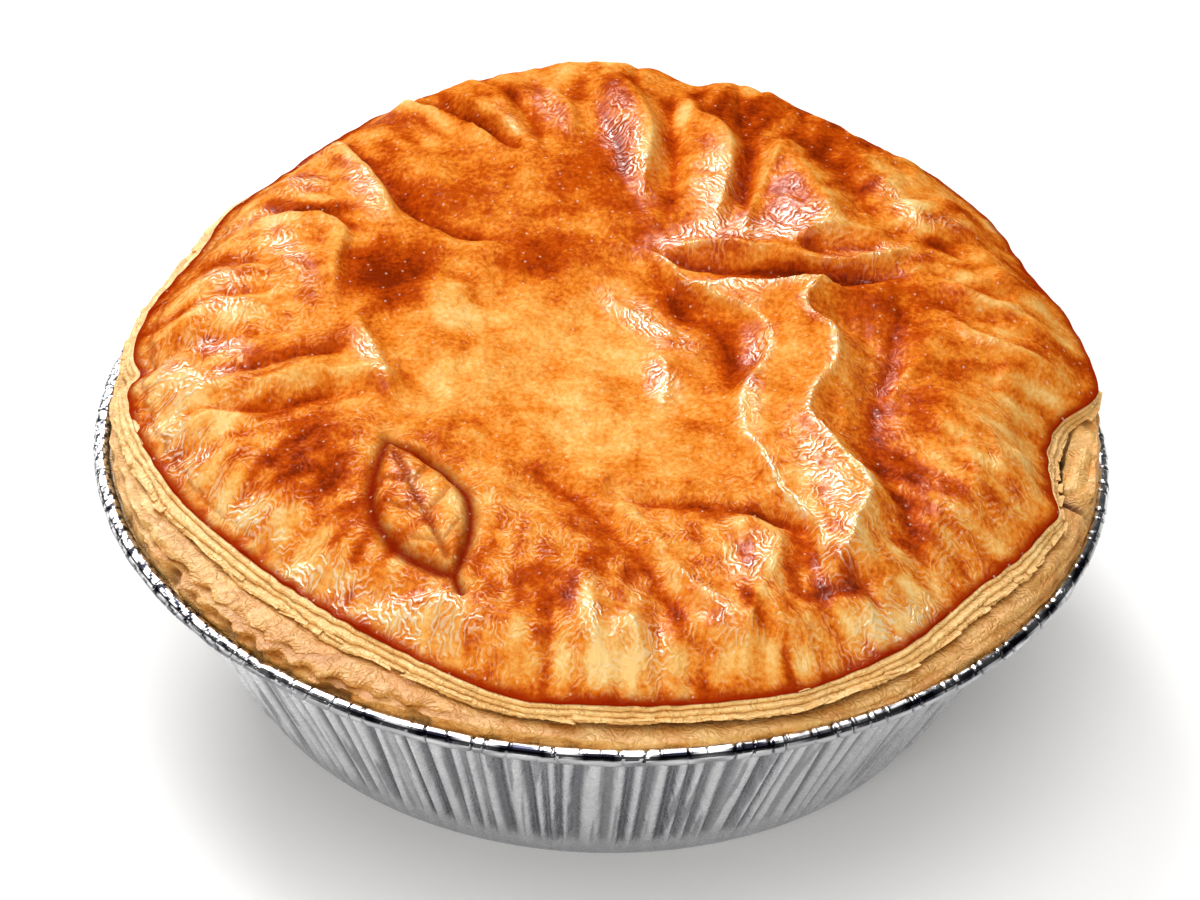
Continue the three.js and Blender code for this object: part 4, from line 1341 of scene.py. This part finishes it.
    def build(self, material: bpy.types.Material) -> bpy.types.Object:
        """Makes the closed lid.

        Args:
            material: the glaze.

        Returns:
            The piece.
        """
        form, skin = self.form, RingSkin()
        outer = 6 * self.rings
        for share, count in ((0.0, 1), (0.3, 60), (0.6, 150), (0.85, 300), (0.96, outer)):
            skin.add(form.under(np.full(count, share), ring_angles(count)), bake=0.4)
        angle = ring_angles(outer)
        radius, height = form.edge_radius(angle), form.edge_height(angle)
        for inset, drop in ((0.7, 1.0), (0.1, 0.8), (-0.08, 0.4)):
            skin.add(polar(radius - inset, angle, height - drop * self.lip), edge=1.0, bake=0.8)
        counts = [6 * k for k in range(self.rings, 0, -1)] + [1]
        shares = np.concatenate([np.full(n, n / outer if n > 1 else 0.0) for n in counts])
        points, facts = form.top(shares, np.concatenate([ring_angles(n) for n in counts]))
        marks = self.browning(points, shares, facts)
        start = 0
        for count in counts:
            rows = slice(start, start + count)
            skin.add(points[rows], **{key: value[rows] for key, value in marks.items()})
            start += count
        return hand_over(skin.build("lid_glaze"), material, Slot.LID, Node.LID)


@dataclass
class LidLayers:
    """The pale sheets of puff pastry that step out from under the lid's edge. Sizes in mm."""

    form: LidForm
    points: int = 2200
    inset: float = 2.6
    drop: float = 0.3
    sheets: tuple[float, ...] = (0.3, 0.66, 1.0)
    sheet_share: float = 0.86
    stray: float = 0.1
    sag: float = 0.1
    undercut: float = 0.2
    tooth: float = 0.07
    seed: int = 51

    def build(self, material: bpy.types.Material) -> bpy.types.Object:
        """Makes the ring of sheets.

        Args:
            material: the pale crust.

        Returns:
            The piece.
        """
        form, skin = self.form, RingSkin()
        angle = ring_angles(self.points)
        radius, height = form.edge_radius(angle), form.edge_height(angle) - self.drop
        reach, thickness = form.sheet_reach(angle), form.edge_thickness(angle)
        step = thickness / len(self.sheets)
        ends = []
        for k, share in enumerate(self.sheets):
            slow = RoundGrain(self.seed + k, (5, 26), (40, 80), 30)(angle, 0.0)
            torn = RoundGrain(self.seed + 20 + k, (70, 420), (40, 80), 70)(angle, 0.0)
            out = reach * np.clip(share + self.stray * slow, 0.05, 1.25)
            ends.append(radius + out + self.tooth * (1 + k) / 2 * torn)
        skin.add(polar(radius - self.inset, angle, height - thickness), toast=0.2)
        for k in range(len(self.sheets) - 1, -1, -1):
            sag = self.sag * RoundGrain(self.seed + 40 + k, (12, 60), (40, 80), 30)(angle, 0.0) * k / 2
            low, high = height - step * (k + self.sheet_share) - sag, height - step * k - sag
            above = ends[k - 1] if k else radius
            tucked = np.minimum(above - self.undercut, ends[k] - 0.2)
            # Darker in the undercut below each sheet: painted shade
            skin.add(polar(ends[k] - self.undercut, angle, low + 0.06), crack=0.1, toast=0.2)
            skin.add(polar(ends[k] - 0.1, angle, low), toast=0.12)
            skin.add(polar(ends[k], angle, 0.5 * (low + high)), toast=0.02)
            skin.add(polar(ends[k] - 0.12, angle, high - 0.04))
            skin.add(polar(tucked, angle, high + 0.02), toast=0.04)
        skin.add(polar(radius - self.inset, angle, height - 0.2))
        return hand_over(skin.build("lid_layers", loop=True), material, Slot.CRUST, Node.LID)


@dataclass
class PastryCase:
    """The bottom crust over the rim: soft ledges, a thick block by the bite and a crack. Sizes in mm."""

    form: LidForm
    points: int = 1620
    rows: int = 28
    ledge_rows: int = 20
    foot_radius: float = 58.2
    foot_lift: float = 0.4
    bulge: float = 0.62
    slit: Lobe = Lobe(-66.0, 34.0, 0.8)
    flaky: Lobe = Lobe(-133.0, 26.0)
    # Toasting round the side, and painted shade on the darker front and right; paler on the lit left
    toast_and_side_shade: tuple[Lobe, ...] = (Lobe(-120, 35, 0.5), Lobe(-30, 40, 0.32), Lobe(195, 40, -0.14))
    block_from: float = -12.2
    block_to: float = 1.5
    block_top: float = 33.6
    block_radius: float = 58.0
    gully: Pair = (0.1, 1.8)
    crack: Lobe = Lobe(-13.2, 0.32)
    crack_shade: Lobe = Lobe(-13.1, 0.416)
    crack_depth: float = 3.2
    layer: float = 1.35
    tread: float = 0.82
    ragged: float = 1.1
    seed: int = 37

    def __post_init__(self) -> None:
        """Draws the lumps of the block."""
        self.lumpy = FlatGrain(self.seed + 9, 4.0, 40)

    def block(self, angle: np.ndarray) -> np.ndarray:
        """Where the thick block by the bite lies, 0 to 1.

        Args:
            angle: where round the pie.

        Returns:
            Shares of the block.
        """
        at = turn_from(0.0, angle)
        start = smooth(self.block_from - 0.6, self.block_from + 1.4, at)
        return start * smooth(self.block_to + 3, self.block_to, at)

    def brink(self, angle: np.ndarray) -> tuple[np.ndarray, np.ndarray]:
        """The upper, outer brink.

        Args:
            angle: where round the pie.

        Returns:
            Its radii and its heights, in mm.
        """
        form, block = self.form, self.block(angle)
        radius = form.edge_radius(angle) + form.sheet_reach(angle) - 0.35
        radius = np.minimum(radius, self.block_radius)
        height = form.edge_height(angle) - form.edge_thickness(angle) - 0.36 - self.slit.share(angle)
        return radius + (self.block_radius - radius) * block, height + (self.block_top - height) * block

    def side(self, angle: np.ndarray, across: np.ndarray) -> tuple[np.ndarray, np.ndarray]:
        """The soft ledges of the side.

        Args:
            angle: where round the pie.
            across: heights over the rim, in mm.

        Returns:
            How far each place stands out in mm, and how much painted shade its groove lines and plate edges
            get, 0 to 1.
        """
        flaky = self.flaky.share(angle)
        drift = RoundGrain(self.seed, (2, 14), (30, 60), 30)
        torn = RoundGrain(self.seed + 5, (20, 110), (30, 60), 50)
        phase = across / self.layer + 0.35 * drift(angle, 0.0) + 0.12 * flaky * torn(angle, 0.0) + 20
        share = phase % 1
        ledge = np.where(share < self.tread, share / self.tread, (1 - share) / (1 - self.tread)) - 0.5
        # Dark lines along the ledges' grooves and the plates' edges: painted shade
        groove = bell((share - 1) / 0.13) + bell(share / 0.05)
        slow = RoundGrain(self.seed + 1, (8, 36), (3, 7), 40)
        plates = 1.5 * RoundGrain(self.seed + 8, (30, 110), (2, 5), 60)(angle, across)
        risen = np.floor(plates) + smooth(0.72, 1.0, plates % 1)
        plate_edge = bell((plates % 1 - 0.8) / 0.1) * (0.1 + 0.25 * flaky)
        groove = np.maximum(groove * (0.25 + 0.4 * flaky), plate_edge)
        relief = (0.5 + 0.5 * flaky) * ledge + 0.16 * slow(angle, across) + (0.07 + 0.28 * flaky) * risen
        return relief, groove

    def add_side(self, skin: RingSkin, angle: np.ndarray) -> None:
        """Adds the outer side, from its foot up.

        Args:
            skin: the skin in the making.
            angle: where round the pie its points lie.
        """
        foot = self.form.rim_height + self.foot_lift
        foot_radius = self.foot_radius + 0.4 * np.cos(angle)
        top_radius, top_height = self.brink(angle)
        block, crack, shade = self.block(angle), self.crack.share(angle), self.crack_shade.share(angle)
        mottle = RoundGrain(self.seed + 6, (20, 60), (3, 7), 40)
        toasted_and_side_shaded = sum(place.share(angle) for place in self.toast_and_side_shade)
        gaps = np.clip(RoundGrain(self.seed + 12, (25, 90), (3, 7), 50)(angle, 0.0), 0, 1)
        gaps = gaps * (0.15 + 0.85 * self.flaky.share(angle))
        for up in np.linspace(0, 1, self.rows):
            turn, low = 0.5 * math.pi * up, smooth(0.5, 0.1, up)
            across = foot + (top_height - foot) * math.sin(turn) ** self.bulge
            relief, groove = self.side(angle, across - foot)
            radius = top_radius + (foot_radius - top_radius) * math.cos(turn) ** self.bulge
            radius = radius + relief * smooth(0, 0.15, up) * (1 - 0.7 * block)
            radius = radius - up * self.crack_depth * crack
            lumps = self.lumpy(2 * across, radius * angle)
            radius = radius + 0.25 * block * up * lumps - self.ragged * gaps * low
            # Darker towards the foot, toast and painted side shade, and painted shade in the grooves, the
            # ragged gaps and the crack
            toast = np.clip(0.2 + toasted_and_side_shaded + 0.25 * mottle(angle, across + 30), 0, 0.8) + 0.2 * (1 - up) ** 3
            painted_shade = 0.4 * groove + shade * smooth(0.2, 0.6, up) + 0.6 * gaps * low ** 3
            skin.add(polar(radius, angle, across), crack=np.clip(painted_shade, 0, 1),
                     toast=np.clip(toast + 0.6 * groove, 0, 1))

    def add_ledge(self, skin: RingSkin, angle: np.ndarray) -> None:
        """Adds the upper ledge, from the brink inwards under the lid.

        Args:
            skin: the skin in the making.
            angle: where round the pie its points lie.
        """
        top_radius, top_height = self.brink(angle)
        block, crack, shade = self.block(angle), self.crack.share(angle), self.crack_shade.share(angle)
        edge = self.form.edge_radius(angle)
        sheets = edge + self.form.sheet_reach(angle) + self.gully[0]
        by_bite = block * smooth(1.0, -4.0, turn_from(0.0, angle))
        for inward in np.linspace(0, 1, self.ledge_rows + 1)[1:]:
            radius = top_radius + (edge - 2.2 - top_radius) * inward
            radius = radius - self.crack_depth * crack * (1 - inward)
            gully = by_bite * smooth(sheets + 0.35, sheets, radius)
            lumps = self.lumpy(radius * np.cos(angle), radius * np.sin(angle))
            crown = np.sin(math.pi * np.clip((top_radius - radius) / 3.6, 0, 1)) + 0.36 * lumps - 0.5
            height = top_height - 0.25 * inward + crown * block
            height = height - self.gully[1] * gully - self.crack_depth * crack
            # Painted shade at the crack, in the gully by the block and under the lid's edge
            painted_shade = shade + gully + 0.7 * smooth(0.0, 0.3, inward) * (1 - block)
            skin.add(polar(radius, angle, height), crack=np.clip(painted_shade, 0, 1),
                     toast=np.clip(0.02 - 0.16 * lumps, 0, 0.6))

    def build(self, material: bpy.types.Material) -> bpy.types.Object:
        """Makes the closed case.

        Args:
            material: the pale crust.

        Returns:
            The piece.
        """
        skin = RingSkin()
        for radius, height, count in ((0.0, 0.8, 1), (20.0, 0.8, 60), (39.3, 0.8, 180), (40.4, 1.9, 180),
                                      (54.2, 26.7, 180), (57.2, 27.6, self.points)):
            skin.add(polar(radius, ring_angles(count), height))
        self.add_side(skin, ring_angles(self.points))
        self.add_ledge(skin, ring_angles(self.points))
        for share, count in ((0.85, 180), (0.5, 90), (0.2, 30), (0.0, 1)):
            below = self.form.under(np.full(count, share), ring_angles(count))
            skin.add(below - np.array((0, 0, 0.5)))
        return hand_over(skin.build("crust_case"), material, Slot.CRUST, Node.CASE)


@dataclass
class FoilDish:
    """The tapered foil dish: a fluted wall with a rounded foot, and a rolled, creased rim. Sizes in mm."""

    rim_radius: float = 60.0
    rim_height: float = 28.0
    bead: float = 1.0
    base_radius: float = 42.2
    corner: float = 2.4
    wall_top: Pair = (56.0, 26.7)
    thickness: float = 0.5
    flutes: int = 138
    depth: float = 1.0
    sway: float = 1.8
    flute_points: int = 12
    rows: int = 34
    crease_share: float = 0.85
    corner_shade: float = 0.55
    rim_shade: float = 0.7
    foot_shade: float = 0.6
    line_shade: float = 0.7
    turned_shade: float = 0.45
    turned_at: float = -12.0
    rim_points: int = 2600
    rim_rows: int = 24
    crimps: int = 150
    fold_at: float = 1.85 * math.pi
    shaded_at: float = -66.0
    seed: int = 11

    def flute(self, angle: np.ndarray, up: float) -> tuple[np.ndarray, np.ndarray]:
        """How far the wall stands in or out.

        Args:
            angle: where round the dish.
            up: how far up the wall, 0 to 1.

        Returns:
            Offsets in mm, and how much painted shade each place gets, 0 to 1.
        """
        drift = RoundGrain(self.seed, (3, 40), (60, 120), 40)
        uneven = RoundGrain(self.seed + 1, (24, 75), (30, 60), 40)
        pucker = RoundGrain(self.seed + 3, (110, 260), (16, 40), 60)
        wave = np.cos(self.flutes * angle + self.sway * drift(angle, 18 * up))
        strength = np.clip(1.0 + 0.5 * uneven(angle, 6 * up), 0.4, 1.6)
        fade = smooth(0.0, 0.16, up) * (1 - 0.3 * smooth(0.9, 1.0, up))
        # Painted shade and painted dark reflection: under the rim, at the foot, in the flute valleys, along
        # fine lines and on the turned-away right side
        under_rim = self.rim_shade * smooth(0.82, 1.0, up)
        foot = self.foot_shade * smooth(0.32, 0.0, up)
        valley = smooth(0.45, -0.75, wave) * np.clip(strength, 0, 1) * fade
        lines = self.line_shade * smooth(0.3, 0.75, pucker(angle, 20 * up)) * fade
        turned = self.turned_shade * smooth(62, 30, np.abs(turn_from(self.turned_at, angle)))
        ends = np.full_like(valley, max(under_rim, foot))
        painted_shade = np.maximum.reduce((valley, lines, turned, ends))
        return 0.5 * self.depth * wave * strength * fade, painted_shade

    def wall(self, material: bpy.types.Material) -> bpy.types.Object:
        """Makes the base and the fluted wall.

        Args:
            material: the satin foil.

        Returns:
            The piece.
        """
        skin = RingSkin()
        angle = ring_angles(self.flutes * self.flute_points)
        top_radius, top_height = self.wall_top
        flat_radius = self.base_radius - self.corner
        skin.add(polar(0.0, ring_angles(1), 0.0))
        skin.add(polar(self.base_radius * 0.6, ring_angles(self.flutes), 0.0))
        skin.add(polar(flat_radius, angle, 0.0))
        lean = math.atan2(top_radius - self.base_radius, top_height - self.corner)
        # The foot's corner gets painted shade
        for turn in np.linspace(0.25, 1, 4) * (math.pi / 2 - lean):
            foot_radius = flat_radius + self.corner * math.sin(turn) / math.cos(lean)
            foot_height = self.corner * (1 - math.cos(turn))
            skin.add(polar(foot_radius, angle, foot_height), crease=self.corner_shade)
        for up in np.linspace(0, 1, self.rows)[1:]:
            offset, painted_shade = self.flute(angle, up)
            radius = foot_radius + (top_radius - foot_radius) * up + offset
            height = foot_height + (top_height - foot_height) * up
            skin.add(polar(radius, angle, height), crease=self.crease_share * painted_shade)
        inner = self.thickness / math.cos(lean)
        under_bead = polar(self.rim_radius - 1.6 * self.bead, angle, self.rim_height - 0.7 * self.bead)
        # Painted shade under the bead
        skin.add(under_bead, crease=0.5)
        skin.add(polar(self.rim_radius - 1.7 * self.bead, angle, self.rim_height - 0.1 * self.bead))
        skin.add(polar(top_radius - inner + self.flute(angle, 1.0)[0], angle, top_height + 0.35))
        skin.add(polar(foot_radius - inner - 0.3, angle, foot_height + 0.6))
        skin.add(polar(flat_radius - 0.6, angle, self.thickness))
        skin.add(polar(0.0, ring_angles(1), self.thickness))
        return hand_over(skin.build("foil_wall"), material, Slot.FOIL, Node.DISH)

    def rim(self, material: bpy.types.Material) -> bpy.types.Object:
        """Makes the rolled rim with its cross creases.

        Args:
            material: the bright foil.

        Returns:
            The piece.
        """
        rng = np.random.default_rng(self.seed + 4)
        skin = RingSkin()
        angle = ring_angles(self.rim_points)
        places = (np.arange(self.crimps) + rng.uniform(-0.32, 0.32, self.crimps)) / self.crimps * 360
        slants = rng.normal(0, 0.35, self.crimps)
        depths = rng.uniform(0.05, 0.2, self.crimps)
        widths = rng.uniform(0.12, 0.3, self.crimps)
        wobble = RoundGrain(self.seed + 6, (20, 70), (3, 7), 40)
        drift = RoundGrain(self.seed + 7, (12, 50), (3, 7), 40)(angle, 0.0)
        dark_reflection_zigzag = RoundGrain(self.seed + 9, (90, 220), (1.2, 3.0), 60)
        shaded = smooth(66, 48, np.abs(turn_from(self.shaded_at, angle))) * np.clip(0.9 + 0.5 * drift, 0, 1)
        side = smooth(70, 40, np.abs(turn_from(180, angle)))
        for around in np.linspace(0, TURN, self.rim_rows + 1)[:-1]:
            push, crease = 0.04 * wobble(angle, around), np.zeros_like(angle)
            for place, slant, depth, width in zip(places, slants, depths, widths):
                gap = np.radians(turn_from(place, angle)) * self.rim_radius - slant * math.sin(around)
                line = bell(gap / width)
                push = push - depth * line + 0.25 * depth * bell((gap - 1.8 * width) / width)
                crease = np.maximum(crease, line * min(1.0, 6 * depth))
            below = abs((around - self.fold_at + math.pi) % TURN - math.pi)
            middle = (around - 0.2 * math.pi - 0.2 * drift + math.pi) % TURN - math.pi
            # Painted shade and painted dark reflection on the bead: in the crimp creases, along its
            # underside and inner side, across its middle at the front, and in a zigzag strongest on the left
            crease = np.maximum.reduce((
                crease,
                smooth(0.95, 0.45, below) * (0.8 - 0.4 * shaded),
                np.full_like(angle, bell((around - 0.85 * math.pi) / 0.5)),
                shaded * smooth(0.8, 0.4, np.abs(middle)),
                smooth(0.05, 0.4, dark_reflection_zigzag(angle + 0.02 * around, around)) * (0.4 + 0.6 * side),
            ))
            radius = self.bead + push
            out = self.rim_radius - self.bead - 0.05 + radius * math.cos(around)
            skin.add(polar(out, angle, self.rim_height + radius * math.sin(around)), crease=crease)
        return hand_over(skin.build("foil_rim", loop=True), material, Slot.FOIL, Node.DISH)


@dataclass
class Scatter:
    """Small copies along a closed path, made by Geometry Nodes and left as one plain mesh. Sizes in mm."""

    name: str
    count: int
    seed: int
    size: Triple
    spread: Triple
    tilt: Triple
    scale: tuple[Triple, Triple] = ((0.4, 0.5, 0.5), (1.5, 1.4, 1.3))

    @staticmethod
    def drawn(desk: NodeDesk, low: object, high: object, seed: object) -> bpy.types.NodeSocket:
        """Adds a random vector for each copy.

        Args:
            desk: where the nodes go.
            low: the lowest values.
            high: the highest values.
            seed: the seed of the draw.

        Returns:
            The vector.
        """
        inputs = {0: low, 1: high, "Seed": seed}
        return desk.add("FunctionNodeRandomValue", inputs, data_type="FLOAT_VECTOR").outputs[0]

    def tree(self, material: bpy.types.Material) -> tuple[bpy.types.NodeTree, dict[str, str]]:
        """Builds the node tree.

        Args:
            material: the copies' finish.

        Returns:
            The tree, and each named input's identifier.
        """
        tree = bpy.data.node_groups.new(self.name, "GeometryNodeTree")
        face = tree.interface
        face.new_socket("Geometry", in_out="INPUT", socket_type="NodeSocketGeometry")
        kinds = {"Count": "Int", "Seed": "Int", "Size": "Vector", "Spread": "Vector", "Tilt": "Vector"}
        keys = {}
        for label, kind in kinds.items():
            socket = face.new_socket(label, in_out="INPUT", socket_type=f"NodeSocket{kind}")
            keys[label] = socket.identifier
        face.new_socket("Geometry", in_out="OUTPUT", socket_type="NodeSocketGeometry")
        desk = NodeDesk(tree)
        given = desk.add("NodeGroupInput").outputs
        less = {}
        for label in ("Spread", "Tilt"):
            inputs = {0: given[label], "Scale": -1.0}
            less[label] = desk.add("ShaderNodeVectorMath", inputs, operation="SCALE").outputs[0]
        curve = desk.add("GeometryNodeMeshToCurve", {0: given["Geometry"]})
        path = desk.add("GeometryNodeResampleCurve", {"Curve": curve.outputs[0], "Count": given["Count"]})
        tangent = desk.add("GeometryNodeInputTangent")
        plate = desk.add("GeometryNodeMeshCube", {"Size": given["Size"], 1: 6, 2: 4, 3: 2})
        bent = desk.add("ShaderNodeTexNoise", {"Scale": 900.0, "Detail": 2.0})
        inputs = {0: bent.outputs[1], 1: (0.5, 0.5, 0.5)}
        centred = desk.add("ShaderNodeVectorMath", inputs, operation="SUBTRACT")
        inputs = {0: centred.outputs[0], 1: given["Size"]}
        shift = desk.add("ShaderNodeVectorMath", inputs, operation="MULTIPLY")
        inputs = {"Geometry": plate.outputs[0], "Offset": shift.outputs[0]}
        uneven = desk.add("GeometryNodeSetPosition", inputs)
        turn = self.drawn(desk, less["Tilt"], given["Tilt"], given["Seed"])
        inputs = {"Vector": tangent.outputs[0]}
        along = desk.add("FunctionNodeAlignRotationToVector", inputs, axis="X", pivot_axis="Z")
        spin = desk.add("FunctionNodeEulerToRotation", {0: turn})
        inputs = {0: along.outputs[0], 1: spin.outputs[0]}
        facing = desk.add("FunctionNodeRotateRotation", inputs, rotation_space="LOCAL")
        scale = self.drawn(desk, *self.scale, desk.math("ADD", given["Seed"], 7.0))
        jitter = self.drawn(desk, less["Spread"], given["Spread"], desk.math("ADD", given["Seed"], 13.0))
        points = desk.add("GeometryNodeSetPosition", {"Geometry": path.outputs[0], "Offset": jitter})
        copies = desk.add("GeometryNodeInstanceOnPoints", {
            "Points": points.outputs[0], "Instance": uneven.outputs[0], "Rotation": facing.outputs[0],
            "Scale": scale})
        real = desk.add("GeometryNodeRealizeInstances", {0: copies.outputs[0]})
        dressed = desk.add("GeometryNodeSetMaterial", {"Geometry": real.outputs[0], "Material": material})
        desk.add("NodeGroupOutput", {0: dressed.outputs[0]})
        return tree, keys

    def build(self, path: np.ndarray, material: bpy.types.Material, slot: Slot) -> bpy.types.Object:
        """Sets the copies along a closed path.

        Args:
            path: places in mm, one row each.
            material: the copies' finish.
            slot: the record's slot.

        Returns:
            The piece.
        """
        mesh = bpy.data.meshes.new(self.name)
        count = len(path)
        mesh.from_pydata((path * MM).tolist(), [(i, (i + 1) % count) for i in range(count)], [])
        piece = bpy.data.objects.new(self.name, mesh)
        bpy.context.collection.objects.link(piece)
        tree, keys = self.tree(material)
        modifier = piece.modifiers.new(self.name, "NODES")
        modifier.node_group = tree
        values = {"Count": self.count, "Seed": self.seed, "Size": [v * MM for v in self.size],
                  "Spread": [v * MM for v in self.spread], "Tilt": list(self.tilt)}
        for label, value in values.items():
            modifier[keys[label]] = value
        bpy.context.view_layer.update()
        made = piece.evaluated_get(bpy.context.evaluated_depsgraph_get())
        piece_mesh = bpy.data.meshes.new_from_object(made)
        piece.modifiers.clear()
        piece.data = piece_mesh
        piece.data.name = self.name
        return hand_over(piece, material, slot)


@dataclass(frozen=True)
class Lamp:
    """A round area light aimed at the pie: it lights what is dull, or is mirrored, or both."""

    name: str
    place: Triple
    size: float
    power: float
    shading: bool
    mirrored: bool

    def add(self, aim: Triple) -> None:
        """Hangs the lamp.

        Args:
            aim: what it points at, in mm.
        """
        data = bpy.data.lights.new(self.name, "AREA")
        data.shape, data.size, data.energy = "DISK", self.size * MM, self.power
        lamp = bpy.data.objects.new(self.name, data)
        bpy.context.collection.objects.link(lamp)
        spot = Vector(self.place) * MM
        turned = (Vector(aim) * MM - spot).to_track_quat("-Z", "Y").to_matrix().to_4x4()
        lamp.matrix_world = Matrix.Translation(spot) @ turned
        lamp.visible_diffuse, lamp.visible_glossy = self.shading, self.mirrored


@dataclass
class Studio:
    """Floor, lights and camera. Sizes in mm, powers in watts."""

    elevation: float = 35.84
    distance: float = 1156.0
    roll: float = 2.64
    lens: float = 293.9
    sensor: float = 36.0
    target: Triple = (-0.24, 0.0, 28.3)
    lit: Triple = (0.0, 0.0, 35.0)
    floor: Screen = (246, 245, 243)
    floor_glow: float = 0.18
    floor_half: float = 4000.0
    floor_drop: float = 0.2
    sky: tuple[float, float, float, float] = (1.0, 1.0, 1.0, 1.0)
    sky_strength: float = 0.10
    lamps: tuple[Lamp, ...] = (
        Lamp("key", (-400, 690, 800), 500, 6.5, True, False),
        Lamp("over", (0, -100, 1300), 1700, 13.6, True, True),
        Lamp("front", (-300, -1150, 500), 900, 6.5, True, False),
        Lamp("sheen_back_left", (-466, 666, 850), 1550, 24.0, False, True),
        Lamp("glint_back_left", (-400, 690, 800), 450, 22.0, False, True),
        Lamp("glint_top", (-60, 40, 1100), 450, 12.0, False, True),
        Lamp("sheen_top", (-100, 300, 1100), 800, 6.5, False, True),
    )

    def camera(self) -> None:
        """Places the camera at the photograph's angle."""
        data = bpy.data.cameras.new("camera")
        data.lens, data.sensor_width, data.sensor_fit = self.lens, self.sensor, "HORIZONTAL"
        data.clip_start, data.clip_end = 0.05, 20.0
        camera = bpy.data.objects.new("camera", data)
        bpy.context.collection.objects.link(camera)
        rise = math.radians(self.elevation)
        aim = Vector(self.target) * MM
        place = aim + Vector((0, -math.cos(rise), math.sin(rise))) * self.distance * MM
        look = (aim - place).to_track_quat("-Z", "Y").to_matrix().to_4x4()
        roll = Matrix.Rotation(math.radians(self.roll), 4, "Z")
        camera.matrix_world = Matrix.Translation(place) @ look @ roll
        bpy.context.scene.camera = camera

    def light(self) -> None:
        """Sets the soft lights and the pale surroundings."""
        for lamp in self.lamps:
            lamp.add(self.lit)
        world = bpy.data.worlds.new("studio")
        world.use_nodes = True
        back = world.node_tree.nodes["Background"]
        back.inputs[0].default_value, back.inputs[1].default_value = self.sky, self.sky_strength
        bpy.context.scene.world = world
        bpy.context.scene.view_settings.view_transform = "Standard"

    def ground(self) -> None:
        """Lays the pale floor, which glows a little so that the shadow on it stays light."""
        look = bpy.data.materials.new("pale floor")
        look.use_nodes = True
        shader = look.node_tree.nodes["Principled BSDF"]
        shader.inputs["Base Color"].default_value = linear(*self.floor)
        shader.inputs["Roughness"].default_value = 0.9
        shader.inputs["Emission Color"].default_value = linear(*self.floor)
        shader.inputs["Emission Strength"].default_value = self.floor_glow
        mesh = bpy.data.meshes.new("floor")
        half, low = self.floor_half * MM, -self.floor_drop * MM
        corners = [(-half, -half, low), (half, -half, low), (half, half, low), (-half, half, low)]
        mesh.from_pydata(corners, [], [(0, 1, 2, 3)])
        floor = bpy.data.objects.new("floor", mesh)
        mesh.materials.append(look)
        bpy.context.collection.objects.link(floor)


def main() -> None:
    """Builds the pie, its dish and the studio."""
    logging.basicConfig(level=logging.INFO, format="%(name)s: %(message)s")
    studio = Studio()
    studio.camera()
    studio.light()
    studio.ground()
    effects = Effects()
    glaze = GlazedFinish().material(effects)
    crust = CrustFinish().material(effects)
    satin = FoilFinish("satin foil").material(effects)
    rolled = FoilFinish("bright foil", colour=(0.9, 0.9, 0.92), painted_shade=(0.012, 0.012, 0.02),
                        roughness=(0.1, 0.2), crumple_mm=0.008)
    bright = rolled.material(effects)
    form = LidForm()
    PastryLid(form).build(glaze)
    LidLayers(form).build(crust)
    PastryCase(form).build(crust)
    dish = FoilDish()
    dish.wall(satin)
    dish.rim(bright)
    angle = ring_angles(720)
    side = polar(form.edge_radius(angle) + 0.9 * form.sheet_reach(angle), angle,
                 form.edge_height(angle) - 0.9 * form.edge_thickness(angle))
    flakes = Scatter("edge_flakes", count=160, seed=5, size=(2.2, 0.7, 0.1), spread=(0.25, 0.25, 0.25),
                     tilt=(0.1, 0.15, 0.15))
    flakes.build(side, crust, Slot.CRUST)


if __name__ == "__main__":
    main()
